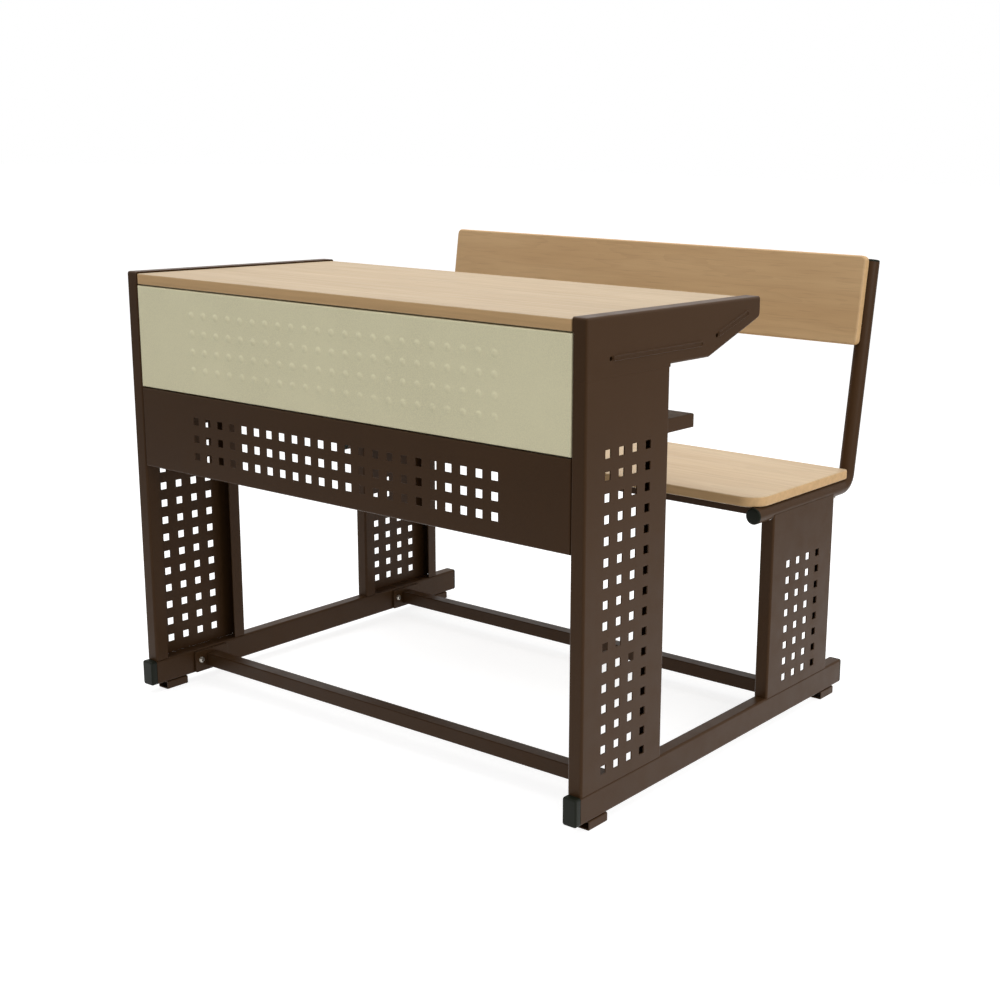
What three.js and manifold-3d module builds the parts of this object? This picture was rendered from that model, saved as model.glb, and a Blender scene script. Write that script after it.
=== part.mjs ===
// Two-seat school desk with a bench joined to it by two floor rails.
// Millimetres. X is the width, Y runs from the front panel to the bench, Z is up.
// Lengths along Y are measured from the front face of the desk pillars, and the whole
// desk is moved at the end so that its bounding box is centred over the origin.

import * as THREE from 'three';
import { mergeGeometries, mergeVertices } from 'three/addons/utils/BufferGeometryUtils.js';
import Module from 'manifold-3d';

const wasm = await Module();
wasm.setup();

// Shared sizes
const desk_width = 1000;
const top_height = 764;
const contact_gap = 0.3;
const screw_play = 0.2;
const cut_overrun = 5;
const arc_steps = 2;
const round_steps = 14;
const screw_steps = 8;

// Folded sheet
const sheet = 2;
const flange_width = 26;
const bend_radius = 4;
const lip_depth = 25;
const pillar_depth = 205;

// Perforations of the pillars: spacing of the columns, rise from row to row, and the lowest
// row's height above the rail
const hole_size = 13;
const hole_columns = 4;
const desk_holes = { spacing: 33, rise: 32, first: 27 };
const bench_holes = { spacing: 34, rise: 29.6, first: 25 };
const last_hole_below_top = 80;

// Floor rails, feet and end caps
const rail_height = 45;
const rail_rear_overhang = 56;
const rail_wall = 2;
const rail_corner = 4;
const foot_height = 15;
const foot_length = 45;
const front_foot_setback = 21;
const rear_foot_setback = 24;
const front_cap_depth = 12;
const rear_cap_depth = 4.5;
const cap_rounding = 2;
const cap_spigot = 18;
const cap_wall = 2;

// Side wings under the desk top. Heights here and on the panels are measured down from the top.
const wing_height = 88;
const wing_depth = 458;
const wing_step = 4;
const wing_bend_depth = 311;
const wing_rear_drop = 33;
const wing_corner = 10;
const wing_rear_flange = 15;
const bead_width = 9;
const bead_rise = 2.2;
const long_bead_start = 56;
const long_bead_end = 294;
const long_bead_drop = 61;
const short_bead_start = 330;
const short_bead_end = 424;
const short_bead_start_drop = 52;
const short_bead_end_drop = 22;

// Desk top and the two tubes that carry it
const board_thickness = 18;
const top_recess = 3;
const top_edge_rounding = 1.5;
const top_corner = 4;
const top_depth = 455;
const bearer_size = 25;
const bearer_wall = 1.5;
const bearer_corner = 2;
const front_bearer_setback = 40;
const rear_bearer_setback = 380;

// Front panel, modesty panel and book shelf
const panel_sheet = 1.2;
const panel_return = 14;
const panel_seam_drop = 199;
const panel_gap = 2;
const front_panel_top_gap = 2;
const modesty_drop = 340;
const modesty_columns = 23;
const modesty_rows = 3;
const modesty_hole_spacing = 30.3;
const modesty_hole_rise = 30.5;
const modesty_first_row_rise = 35;
const shelf_drop = 174;
const shelf_return = 22;
const shelf_start = 15;
const shelf_end = 312;

// Cross ties with bolted end plates
const tie_size = 25;
const tie_wall = 1.5;
const tie_corner = 2;
const tie_drop = 1.5;
const front_tie_setback = 120.5;
const rear_tie_setback = 114;
const plate_length = 76;
const plate_margin = 2.5;
const plate_thickness = 4;
const plate_corner = 3;
const bolt_reach = 25;
const bolt_stagger = 3;
const bolt_head_radius = 5.5;
const bolt_head_height = 4;
const bolt_radius = 3;
const bolt_length = 13;

// Bench
const seat_pillar_setback = 529.5;
const seat_pillar_depth = 214;
const seat_saddle_drop = 4;
const seat_tube_radius = 14.3;
const seat_tube_wall = 1.6;
const seat_tube_height = 393.4;
const seat_tube_lead = 43.5;
const seat_bend_radius = 26;
const seat_bend_steps = 6;
const upright_setback = 65.6;
const upright_top_height = 798;
const upright_lean = 8.25 * Math.PI / 180;
const plug_head = 4;
const plug_spigot = 14;
const seat_rail_size = 25;
const seat_overhang = 8;
const seat_side_inset = 3;
const seat_front_corner = 38;
const seat_rear_corner = 6;
const seat_edge_rounding = 3;
const seat_upright_gap = 1.5;
const backrest_height = 162;
const backrest_top = 811;
const backrest_side_inset = 11;
const backrest_corner = 10;
const backrest_edge_rounding = 4;

// Wood screws
const screw_head_radius = 5;
const screw_head_height = 3;
const screw_radius = 2.4;
const screw_bite = 12;
const seat_screw_front_inset = 97;
const seat_screw_rear_inset = 23;
const backrest_screw_height_shares = [0.25, 0.75];
const top_screw_width_share = 0.6;

// Values that follow from the sizes above
const side_x = desk_width / 2;
const inner_x = side_x - flange_width;
const panel_x = inner_x - contact_gap;
const seat_pillar_end = seat_pillar_setback + seat_pillar_depth;
const rail_length = seat_pillar_end + rail_rear_overhang;
const rail_top = foot_height + rail_height;
const pillar_low = rail_top + contact_gap;
const tube_x = side_x - seat_tube_radius;
const seam_height = top_height - wing_height;
const board_top = top_height - top_recess;
const board_low = board_top - board_thickness;
const seat_tube_top = seat_tube_height + seat_tube_radius;
const seat_tube_low = seat_tube_height - seat_tube_radius;
const seat_low = seat_tube_top + contact_gap;
const seat_tube_start = seat_pillar_setback - seat_tube_lead;
const upright_foot = seat_pillar_end + upright_setback;

// Materials
const paint = (color) => new THREE.MeshStandardMaterial({ color, metalness: 0.3, roughness: 0.5 });
const brown_paint = paint(0x4c3a2e);
const cream_paint = paint(0xc4bd9c);
const wood = new THREE.MeshStandardMaterial({ color: 0xd8bf98, roughness: 0.6 });
const cap_plastic = new THREE.MeshStandardMaterial({ color: 0x262a24, roughness: 0.7 });
const bright_steel = new THREE.MeshStandardMaterial({ color: 0xb4aca0, metalness: 1, roughness: 0.3 });

// Solids from three.js shapes
function solid_from(geometry) {
  const bare = geometry.clone();
  bare.deleteAttribute('normal');
  bare.deleteAttribute('uv');
  const merged = mergeVertices(bare);
  const index = [];
  for (let i = 0; i < merged.index.count; i += 3) {
    const corners = [0, 1, 2].map((k) => merged.index.getX(i + k));
    if (new Set(corners).size === 3) {
      index.push(...corners);
    }
  }
  return new wasm.Manifold(new wasm.Mesh({
    numProp: 3,
    vertProperties: new Float32Array(merged.attributes.position.array),
    triVerts: new Uint32Array(index),
  }));
}

function geometry_from(solid) {
  const mesh = solid.getMesh();
  const geometry = new THREE.BufferGeometry();
  geometry.setAttribute('position', new THREE.BufferAttribute(mesh.vertProperties, mesh.numProp));
  geometry.setIndex(new THREE.BufferAttribute(mesh.triVerts, 1));
  return geometry;
}

function block_geometry(x0, x1, y0, y1, z0, z1) {
  const geometry = new THREE.BoxGeometry(x1 - x0, y1 - y0, z1 - z0);
  return geometry.translate((x0 + x1) / 2, (y0 + y1) / 2, (z0 + z1) / 2);
}

function block(x0, x1, y0, y1, z0, z1) {
  return solid_from(block_geometry(x0, x1, y0, y1, z0, z1));
}

function shape_of(points, hole) {
  const shape = new THREE.Shape(points.map(([a, b]) => new THREE.Vector2(a, b)));
  if (hole) {
    shape.holes.push(new THREE.Path(hole.map(([a, b]) => new THREE.Vector2(a, b))));
  }
  return shape;
}

function extruded(points, depth, hole, rounding = 0) {
  return new THREE.ExtrudeGeometry(shape_of(points, hole), {
    depth: depth - 2 * rounding,
    bevelEnabled: rounding > 0,
    bevelThickness: rounding,
    bevelSize: rounding,
    bevelOffset: -rounding,
    bevelSegments: 2,
  }).translate(0, 0, rounding);
}

// Outline in Y and Z, pushed along X
function prism_x(points, x0, x1, hole) {
  const turn = new THREE.Matrix4().set(0, 0, 1, x0, 1, 0, 0, 0, 0, 1, 0, 0, 0, 0, 0, 1);
  return solid_from(extruded(points, x1 - x0, hole).applyMatrix4(turn));
}

// Outline in X and Z, pushed along Y
function prism_y(points, y0, y1, hole, rounding) {
  const turn = new THREE.Matrix4().set(1, 0, 0, 0, 0, 0, -1, y1, 0, 1, 0, 0, 0, 0, 0, 1);
  return solid_from(extruded(points, y1 - y0, hole, rounding).applyMatrix4(turn));
}

// Outline in X and Y, pushed along Z
function prism_z(points, z0, z1, hole, rounding) {
  return solid_from(extruded(points, z1 - z0, hole, rounding).translate(0, 0, z0));
}

function circle(radius, steps) {
  return Array.from({ length: steps }, (unused, k) => {
    const angle = 2 * Math.PI * k / steps;
    return [radius * Math.cos(angle), radius * Math.sin(angle)];
  });
}

// Points of an arc that rounds the corner at b between a and c
function rounded_corner(a, b, c, radius) {
  const to_a = new THREE.Vector2(a[0] - b[0], a[1] - b[1]).normalize();
  const to_c = new THREE.Vector2(c[0] - b[0], c[1] - b[1]).normalize();
  const half_angle = Math.acos(THREE.MathUtils.clamp(to_a.dot(to_c), -1, 1)) / 2;
  const reach = radius / Math.tan(half_angle);
  const middle = to_a.clone().add(to_c).normalize().multiplyScalar(radius / Math.sin(half_angle));
  const centre = new THREE.Vector2(b[0], b[1]).add(middle);
  const first = new THREE.Vector2(b[0], b[1]).addScaledVector(to_a, reach).sub(centre);
  const last = new THREE.Vector2(b[0], b[1]).addScaledVector(to_c, reach).sub(centre);
  let sweep = last.angle() - first.angle();
  if (sweep > Math.PI) {
    sweep -= 2 * Math.PI;
  }
  if (sweep < -Math.PI) {
    sweep += 2 * Math.PI;
  }
  return Array.from({ length: arc_steps + 1 }, (unused, k) => {
    const point = first.clone().rotateAround(new THREE.Vector2(), sweep * k / arc_steps).add(centre);
    return [point.x, point.y];
  });
}

// Closed outline with a radius for each corner
function rounded_outline(points, radii) {
  return points.flatMap((point, k) => {
    const before = points[(k + points.length - 1) % points.length];
    const after = points[(k + 1) % points.length];
    return radii[k] > 0 ? rounded_corner(before, point, after, radii[k]) : [point];
  });
}

function rounded_box_outline(a0, a1, b0, b1, radius) {
  const corners = [[a0, b0], [a1, b0], [a1, b1], [a0, b1]];
  return rounded_outline(corners, corners.map(() => radius));
}

// The corner at point, moved to the left of the path by the given distance.
// The corners before and after it may be missing at the ends of a path.
function inset_corner(before, point, after, distance) {
  const unit_step = (from, to) => new THREE.Vector2(to[0] - from[0], to[1] - from[1]).normalize();
  const step_in = before ? unit_step(before, point) : unit_step(point, after);
  const step_out = after ? unit_step(point, after) : unit_step(before, point);
  const share = distance / (1 + step_in.dot(step_out));
  return [point[0] - (step_in.y + step_out.y) * share, point[1] + (step_in.x + step_out.x) * share];
}

// Outline of a folded strip. The path is its outer face, the sheet lies to the left of it.
function folded_strip(path, thickness, radius) {
  const radii = path.map((point, k) => (k > 0 && k < path.length - 1 ? radius : 0));
  const inner = path.map((point, k) => inset_corner(path[k - 1], point, path[k + 1], thickness));
  const inner_radii = radii.map((value) => Math.max(value - thickness, 0));
  return rounded_outline([...path, ...inner.reverse()], [...radii, ...inner_radii.reverse()]);
}

function square_tube_x(x0, x1, y0, z0, size, wall, corner) {
  const outline = rounded_box_outline(y0, y0 + size, z0, z0 + size, corner);
  const bore = rounded_box_outline(y0 + wall, y0 + size - wall, z0 + wall, z0 + size - wall, corner / 2);
  return prism_x(outline, x0, x1, bore);
}

// Screw along Z with its seating face at zero and the shank pointing up
function screw_geometry(head_radius, head_height, radius, length) {
  const profile = [[0, length], [radius, length], [radius, 0], [head_radius, 0], [head_radius, -head_height],
    [0, -head_height]];
  const points = profile.reverse().map(([a, b]) => new THREE.Vector2(a, b));
  return new THREE.LatheGeometry(points, screw_steps).rotateX(Math.PI / 2);
}

function drill_geometry(radius, length) {
  return new THREE.CylinderGeometry(radius, radius, length, screw_steps).rotateX(Math.PI / 2)
    .translate(0, 0, length / 2);
}

const desk = new THREE.Group();
desk.name = 'two_seat_school_desk';

function add_piece(name, solid, material) {
  const mesh = new THREE.Mesh(geometry_from(solid), material);
  mesh.name = name;
  desk.add(mesh);
}

function mirrored(solid) {
  const geometry = geometry_from(solid);
  geometry.scale(-1, 1, 1);
  const index = geometry.index.array.slice();
  for (let i = 0; i < index.length; i += 3) {
    [index[i + 1], index[i + 2]] = [index[i + 2], index[i + 1]];
  }
  geometry.setIndex(new THREE.BufferAttribute(index, 1));
  return solid_from(geometry);
}

// The right side is at plus X
function add_pair(name, solid, material) {
  add_piece(`${name}_right`, solid, material);
  add_piece(`${name}_left`, mirrored(solid), material);
}

// Square holes through a plate that faces X, one column after another along Y
function side_perforation(first_y, first_z, rows, { spacing, rise }) {
  const half = hole_size / 2;
  const holes = [];
  for (let column = 0; column < hole_columns; column += 1) {
    for (let row = 0; row < rows; row += 1) {
      const y = first_y + column * spacing;
      const z = first_z + row * rise;
      holes.push(block_geometry(side_x - bend_radius, side_x + cut_overrun,
        y - half, y + half, z - half, z + half));
    }
  }
  return solid_from(mergeGeometries(holes));
}

function pillar(setback, depth, top, grid) {
  const path = [
    [inner_x, setback + lip_depth],
    [inner_x, setback],
    [side_x, setback],
    [side_x, setback + depth],
    [inner_x, setback + depth],
    [inner_x, setback + depth - lip_depth],
  ];
  const first_column = setback + (depth - (hole_columns - 1) * grid.spacing) / 2;
  const first_row = rail_top + grid.first;
  const rows = 1 + Math.floor((top - last_hole_below_top - first_row) / grid.rise);
  return prism_z(folded_strip(path, sheet, bend_radius), pillar_low, top)
    .subtract(side_perforation(first_column, first_row, rows, grid));
}

// Floor rails
const rail_outline = rounded_box_outline(inner_x, side_x, foot_height, rail_top, rail_corner);
const rail_bore = rounded_box_outline(
  inner_x + rail_wall,
  side_x - rail_wall,
  foot_height + rail_wall,
  rail_top - rail_wall,
  rail_corner - rail_wall,
);
const tie_centre_height = foot_height + rail_height / 2 - tie_drop;
const tie_centres = [['front', front_tie_setback], ['rear', seat_pillar_setback + rear_tie_setback]];
// The two bolts of a plate stand a little off its middle line, the front one up and the rear one down
const bolt_places = [['a', -bolt_reach, bolt_stagger], ['b', bolt_reach, -bolt_stagger]];
const bolt_holes = solid_from(mergeGeometries(tie_centres.flatMap(([, centre]) => (
  bolt_places.map(([, along, rise]) => (
    drill_geometry(bolt_radius + screw_play, bolt_length + cut_overrun)
      .rotateY(Math.PI / 2)
      .translate(inner_x - plate_thickness - cut_overrun, centre + along, tie_centre_height + rise)
  ))
))));
add_pair('floor_rail', prism_y(rail_outline, 0, rail_length, rail_bore).subtract(bolt_holes), brown_paint);

// End caps of the rails, each with a hollow spigot inside the tube
const spigot_inset = rail_wall + contact_gap;
function rail_cap(face_y, head_depth, into) {
  const head = prism_y(rail_outline, Math.min(face_y, face_y - into * head_depth),
    Math.max(face_y, face_y - into * head_depth), undefined, cap_rounding);
  const root = face_y - into * cap_rounding;
  const tip = face_y + into * cap_spigot;
  const outline = rounded_box_outline(inner_x + spigot_inset, side_x - spigot_inset,
    foot_height + spigot_inset, rail_top - spigot_inset, cap_wall);
  const inset = spigot_inset + cap_wall;
  const bore = rounded_box_outline(inner_x + inset, side_x - inset,
    foot_height + inset, rail_top - inset, cap_wall / 2);
  return head.add(prism_y(outline, Math.min(root, tip), Math.max(root, tip), bore));
}
add_pair('rail_front_cap', rail_cap(-contact_gap, front_cap_depth, 1), cap_plastic);
add_pair('rail_rear_cap', rail_cap(rail_length + contact_gap, rear_cap_depth, -1), cap_plastic);

// Feet are short open tubes under the rails
const foot_top = foot_height - contact_gap;
const foot_outline = rounded_box_outline(inner_x, side_x, 0, foot_top, rail_corner / 2);
const foot_bore = rounded_box_outline(
  inner_x + rail_wall,
  side_x - rail_wall,
  rail_wall,
  foot_top - rail_wall,
  rail_corner / 4,
);
const foot_starts = [
  ['front', front_foot_setback],
  ['rear', rail_length - rear_foot_setback - foot_length],
];
for (const [end, start] of foot_starts) {
  add_pair(`${end}_foot`, prism_y(foot_outline, start, start + foot_length, foot_bore), brown_paint);
}

// Desk pillars
add_pair('desk_pillar', pillar(0, pillar_depth, seam_height, desk_holes), brown_paint);

// Side wings: a plate with folded edges and two pressed beads
function bead(y0, z0, y1, z1) {
  const along = new THREE.Vector2(y1 - y0, z1 - z0);
  const length = along.length();
  const half = bead_width / 2;
  const outline = rounded_box_outline(0, length, -half, half, half - bead_rise / 4);
  const angle = along.angle();
  const turned = outline.map(([a, b]) => {
    const point = new THREE.Vector2(a, b).rotateAround(new THREE.Vector2(), angle);
    return [y0 + point.x, z0 + point.y];
  });
  return prism_x(turned, side_x - sheet / 2, side_x + bead_rise);
}
const wing_seam = seam_height + contact_gap;
const wing_low_height = seam_height + wing_step;
const wing_edges = [
  [pillar_depth, wing_low_height],
  [wing_bend_depth, wing_low_height],
  [wing_depth, top_height - wing_rear_drop],
  [wing_depth, top_height],
  [0, top_height],
  [0, wing_seam],
];
const wing_radii = [0, wing_corner, wing_corner, bend_radius, bend_radius, 0];
const wing_inside = wing_edges.map((point, k) => (
  inset_corner(wing_edges[k - 1], point, wing_edges[k + 1], sheet)
));
wing_inside[0][0] += sheet;
wing_inside[wing_inside.length - 1][1] -= cut_overrun;
const wing_full = prism_x(rounded_outline([...wing_edges, [pillar_depth, wing_seam]], [...wing_radii, 0]),
  inner_x, side_x);
const inside_radii = [...wing_radii.map((radius) => Math.max(radius - sheet, 0)), 0];
const wing_hollow = prism_x(
  rounded_outline([...wing_inside, [pillar_depth + sheet, wing_seam - cut_overrun]], inside_radii),
  inner_x - cut_overrun,
  side_x - sheet,
);
const lip_space = block(inner_x - 2 * cut_overrun, inner_x + sheet, -cut_overrun, lip_depth,
  wing_seam - 2 * cut_overrun, board_low - contact_gap);
const rear_flange_cut = block(inner_x - cut_overrun, side_x - wing_rear_flange, pillar_depth - sheet,
  wing_depth + cut_overrun, wing_low_height - cut_overrun, top_height - bend_radius);
const long_bead_z = top_height - long_bead_drop;
const wing = wing_full
  .subtract(wing_hollow.subtract(lip_space))
  .subtract(rear_flange_cut)
  .add(bead(long_bead_start, long_bead_z, long_bead_end, long_bead_z))
  .add(bead(short_bead_start, top_height - short_bead_start_drop,
    short_bead_end, top_height - short_bead_end_drop));
add_pair('side_wing', wing, brown_paint);

// Desk top on two cross tubes, held by screws from below
const bearer_low = board_low - contact_gap - bearer_size;
const bearer_x = side_x - sheet - contact_gap;
const top_screw_x = desk_width / 2 * top_screw_width_share;
const long_screw = bearer_size + contact_gap + screw_bite;
const bearers = [['front', front_bearer_setback], ['rear', rear_bearer_setback]];
const top_hole_depth = cut_overrun + long_screw + contact_gap;
const top_holes = solid_from(mergeGeometries(bearers.flatMap(([, start]) => (
  [-top_screw_x, top_screw_x].map((x) => (
    drill_geometry(screw_radius + screw_play, top_hole_depth)
      .translate(x, start + bearer_size / 2, bearer_low - cut_overrun)
  ))
))));
const board_outline = rounded_box_outline(-panel_x, panel_x, 0, top_depth, top_corner);
const top_board = prism_z(board_outline, board_low, board_top, undefined, top_edge_rounding);
add_piece('desk_top', top_board.subtract(top_holes), wood);
for (const [end, start] of bearers) {
  const tube = square_tube_x(-bearer_x, bearer_x, start, bearer_low, bearer_size, bearer_wall, bearer_corner);
  add_piece(`top_bearer_${end}`, tube.subtract(top_holes), brown_paint);
  const screw = screw_geometry(screw_head_radius, screw_head_height, screw_radius, long_screw)
    .translate(top_screw_x, start + bearer_size / 2, bearer_low - contact_gap);
  add_pair(`top_screw_${end}`, solid_from(screw), bright_steel);
}

// Panels: a sheet with its four edges folded back
function tray_panel(z0, z1) {
  const inside = block(-panel_x + panel_sheet, panel_x - panel_sheet, panel_sheet, panel_return + cut_overrun,
    z0 + panel_sheet, z1 - panel_sheet);
  return block(-panel_x, panel_x, 0, panel_return, z0, z1).subtract(inside);
}
const panel_seam_height = top_height - panel_seam_drop;
const front_panel = tray_panel(panel_seam_height + panel_gap / 2, board_low - front_panel_top_gap);
add_piece('front_panel', front_panel, cream_paint);
const modesty_low = top_height - modesty_drop;
const modesty_holes = [];
for (let column = 0; column < modesty_columns; column += 1) {
  for (let row = 0; row < modesty_rows; row += 1) {
    const x = (column - (modesty_columns - 1) / 2) * modesty_hole_spacing;
    const z = modesty_low + modesty_first_row_rise + row * modesty_hole_rise;
    const half = hole_size / 2;
    modesty_holes.push(block_geometry(x - half, x + half, -cut_overrun, bend_radius, z - half, z + half));
  }
}
const modesty = tray_panel(modesty_low, panel_seam_height - panel_gap / 2)
  .subtract(solid_from(mergeGeometries(modesty_holes)));
add_piece('modesty_panel', modesty, brown_paint);

// Book shelf: an inverted tray between the pillar lips
const shelf_height = top_height - shelf_drop;
const shelf_low = shelf_height - shelf_return;
const shelf = block(-panel_x, panel_x, shelf_start, shelf_end, shelf_low, shelf_height)
  .subtract(block(-panel_x + panel_sheet, panel_x - panel_sheet, shelf_start + panel_sheet,
    shelf_end - panel_sheet, shelf_low - cut_overrun, shelf_height - panel_sheet));
add_piece('book_shelf', shelf, brown_paint);

// Cross ties, end plates and bolts
const plate_outer = inner_x - contact_gap;
const plate_inner = plate_outer - plate_thickness;
const tie_x = plate_inner - contact_gap;
const tie_low = tie_centre_height - tie_size / 2;
for (const [end, centre] of tie_centres) {
  const tie = square_tube_x(-tie_x, tie_x, centre - tie_size / 2, tie_low, tie_size, tie_wall, tie_corner);
  add_piece(`cross_tie_${end}`, tie, brown_paint);
  const outline = rounded_box_outline(centre - plate_length / 2, centre + plate_length / 2,
    foot_height + plate_margin - tie_drop, rail_top - plate_margin - tie_drop, plate_corner);
  const plate = prism_x(outline, plate_inner, plate_outer).subtract(bolt_holes);
  add_pair(`tie_plate_${end}`, plate, brown_paint);
  const head = new THREE.CylinderGeometry(bolt_head_radius, bolt_head_radius, bolt_head_height, 6)
    .rotateX(Math.PI / 2)
    .translate(0, 0, -bolt_head_height / 2);
  const shank = drill_geometry(bolt_radius, bolt_length + bolt_head_height / 2)
    .translate(0, 0, -bolt_head_height / 2);
  for (const [place, along, rise] of bolt_places) {
    const put = (geometry) => solid_from(geometry.clone().rotateY(Math.PI / 2)
      .translate(plate_inner - contact_gap, centre + along, tie_centre_height + rise));
    add_pair(`tie_bolt_${end}_${place}`, put(head).add(put(shank)), bright_steel);
  }
}

// Bent seat tubes: level under the seat, then up and back behind it
class BentPath extends THREE.Curve {
  constructor(stations) {
    super();
    this.stations = stations;
  }

  getPoint(t, target = new THREE.Vector3()) {
    const place = t * (this.stations.length - 1);
    const low = Math.min(Math.floor(place), this.stations.length - 2);
    return target.lerpVectors(this.stations[low].point, this.stations[low + 1].point, place - low);
  }

  getPointAt(t, target) {
    return this.getPoint(t, target);
  }

  getTangentAt(t, target = new THREE.Vector3()) {
    return target.copy(this.stations[Math.round(t * (this.stations.length - 1))].along);
  }
}

const lean_up = new THREE.Vector3(0, Math.sin(upright_lean), Math.cos(upright_lean));
const level = new THREE.Vector3(0, 1, 0);
const bend_turn = Math.PI / 2 - upright_lean;
const bend_reach = seat_bend_radius * Math.tan(bend_turn / 2);
const bend_start = upright_foot - bend_reach;
const stations = [{ point: new THREE.Vector3(tube_x, seat_tube_start, seat_tube_height), along: level }];
for (let k = 0; k <= seat_bend_steps; k += 1) {
  const angle = bend_turn * k / seat_bend_steps;
  stations.push({
    point: new THREE.Vector3(tube_x, bend_start + seat_bend_radius * Math.sin(angle),
      seat_tube_height + seat_bend_radius * (1 - Math.cos(angle))),
    along: new THREE.Vector3(0, Math.cos(angle), Math.sin(angle)),
  });
}
function upright_at(z) {
  return new THREE.Vector3(tube_x, upright_foot + (z - seat_tube_height) * Math.tan(upright_lean), z);
}
stations.push({ point: upright_at(upright_top_height), along: lean_up });
const tube_bore = seat_tube_radius - seat_tube_wall;
const tube_shape = shape_of(circle(seat_tube_radius, round_steps), circle(tube_bore, round_steps));
const along_tube = (shape) => solid_from(new THREE.ExtrudeGeometry(shape, {
  steps: stations.length - 1,
  extrudePath: new BentPath(stations),
}));
const bare_tube = along_tube(tube_shape);

// Bench pillars, with a saddle at the top that the seat tube lies in
const seat_pillar_top = seat_tube_height - seat_saddle_drop;
const saddle = along_tube(shape_of(circle(seat_tube_radius + contact_gap, round_steps)));
const seat_pillar = pillar(seat_pillar_setback, seat_pillar_depth, seat_pillar_top, bench_holes);
add_pair('seat_pillar', seat_pillar.subtract(saddle), brown_paint);

// Backrest board, built upright at the origin and then leaned back on the uprights
const lean_back = (geometry) => geometry.rotateX(-upright_lean);
const lean_forward = new THREE.Vector3(0, -Math.cos(upright_lean), Math.sin(upright_lean));
const backrest_offset = seat_tube_radius + contact_gap + board_thickness / 2;
const backrest_drop = lean_up.z * backrest_height / 2 + lean_forward.z * board_thickness / 2;
const backrest_centre = upright_at(backrest_top - backrest_drop - lean_forward.z * backrest_offset)
  .addScaledVector(lean_forward, backrest_offset);
const backrest_x = side_x - backrest_side_inset;
const backrest_geometry = extruded(
  rounded_box_outline(-backrest_x, backrest_x, -backrest_height / 2, backrest_height / 2, backrest_corner),
  board_thickness,
  undefined,
  backrest_edge_rounding,
).translate(0, 0, -board_thickness / 2).rotateX(Math.PI / 2);
const tube_screw = 2 * seat_tube_radius + contact_gap + screw_bite;
const backrest_places = backrest_screw_height_shares.map((share) => (share - 1 / 2) * backrest_height);
const head_seat = board_thickness / 2 + contact_gap + 2 * seat_tube_radius + contact_gap;
function lean_screw(geometry, along) {
  return lean_back(geometry.rotateX(Math.PI / 2).translate(0, head_seat, along))
    .translate(tube_x, backrest_centre.y, backrest_centre.z);
}
const backrest_holes = solid_from(mergeGeometries(backrest_places.map((along) => (
  lean_screw(drill_geometry(screw_radius + screw_play, tube_screw + contact_gap + cut_overrun)
    .translate(0, 0, -cut_overrun + contact_gap), along)
))));
const backrest = solid_from(lean_back(backrest_geometry).translate(0, backrest_centre.y, backrest_centre.z));
add_piece('backrest_board', backrest.subtract(backrest_holes).subtract(mirrored(backrest_holes)), wood);
backrest_places.forEach((along, k) => {
  const screw = screw_geometry(screw_head_radius, screw_head_height, screw_radius, tube_screw);
  add_pair(`backrest_screw_${k + 1}`, solid_from(lean_screw(screw, along)), bright_steel);
});

// Seat board on the tubes
const seat_front = seat_tube_start - seat_overhang;
const seat_rear = upright_at(seat_low + board_thickness / 2).y - seat_tube_radius / Math.cos(upright_lean)
  - seat_upright_gap;
const seat_x = side_x - seat_side_inset;
const seat_outline = rounded_outline(
  [[-seat_x, seat_front], [seat_x, seat_front], [seat_x, seat_rear], [-seat_x, seat_rear]],
  [seat_front_corner, seat_front_corner, seat_rear_corner, seat_rear_corner],
);
const seat_screw_low = seat_tube_low - contact_gap;
const seat_screw_places = [seat_front + seat_screw_front_inset, bend_start - seat_screw_rear_inset];
const seat_holes = solid_from(mergeGeometries(seat_screw_places.map((y) => (
  drill_geometry(screw_radius + screw_play, tube_screw + contact_gap + cut_overrun)
    .translate(tube_x, y, seat_screw_low - cut_overrun + contact_gap)
))));
const bend_relief = along_tube(shape_of(circle(seat_tube_radius + seat_upright_gap, round_steps)))
  .intersect(block(0, desk_width, bend_start - seat_upright_gap, desk_width, seat_tube_height, top_height));
const seat_board = prism_z(seat_outline, seat_low, seat_low + board_thickness, undefined, seat_edge_rounding);
const seat_cuts = seat_holes.add(bend_relief);
add_piece('seat_board', seat_board.subtract(seat_cuts).subtract(mirrored(seat_cuts)), wood);
seat_screw_places.forEach((y, k) => {
  const screw = screw_geometry(screw_head_radius, screw_head_height, screw_radius, tube_screw)
    .translate(tube_x, y, seat_screw_low);
  add_pair(`seat_screw_${k + 1}`, solid_from(screw), bright_steel);
});
add_pair('seat_tube', bare_tube.subtract(seat_holes).subtract(backrest_holes), brown_paint);

// Plugs in both ends of each seat tube
const plug_radius = tube_bore - contact_gap;
function plug_geometry() {
  const profile = [[0, -plug_head], [seat_tube_radius / 2, -plug_head], [seat_tube_radius, -plug_head / 4],
    [seat_tube_radius, 0], [plug_radius, 0], [plug_radius, plug_spigot], [0, plug_spigot]];
  const points = profile.map(([a, b]) => new THREE.Vector2(a, b));
  return new THREE.LatheGeometry(points, round_steps).rotateX(Math.PI / 2);
}
const front_plug = plug_geometry().rotateX(-Math.PI / 2)
  .translate(tube_x, seat_tube_start - contact_gap, seat_tube_height);
add_pair('tube_plug_front', solid_from(front_plug), cap_plastic);
const upright_end = upright_at(upright_top_height).addScaledVector(lean_up, contact_gap);
const top_plug = lean_back(plug_geometry().rotateX(Math.PI))
  .translate(upright_end.x, upright_end.y, upright_end.z);
add_pair('tube_plug_top', solid_from(top_plug), cap_plastic);

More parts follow.
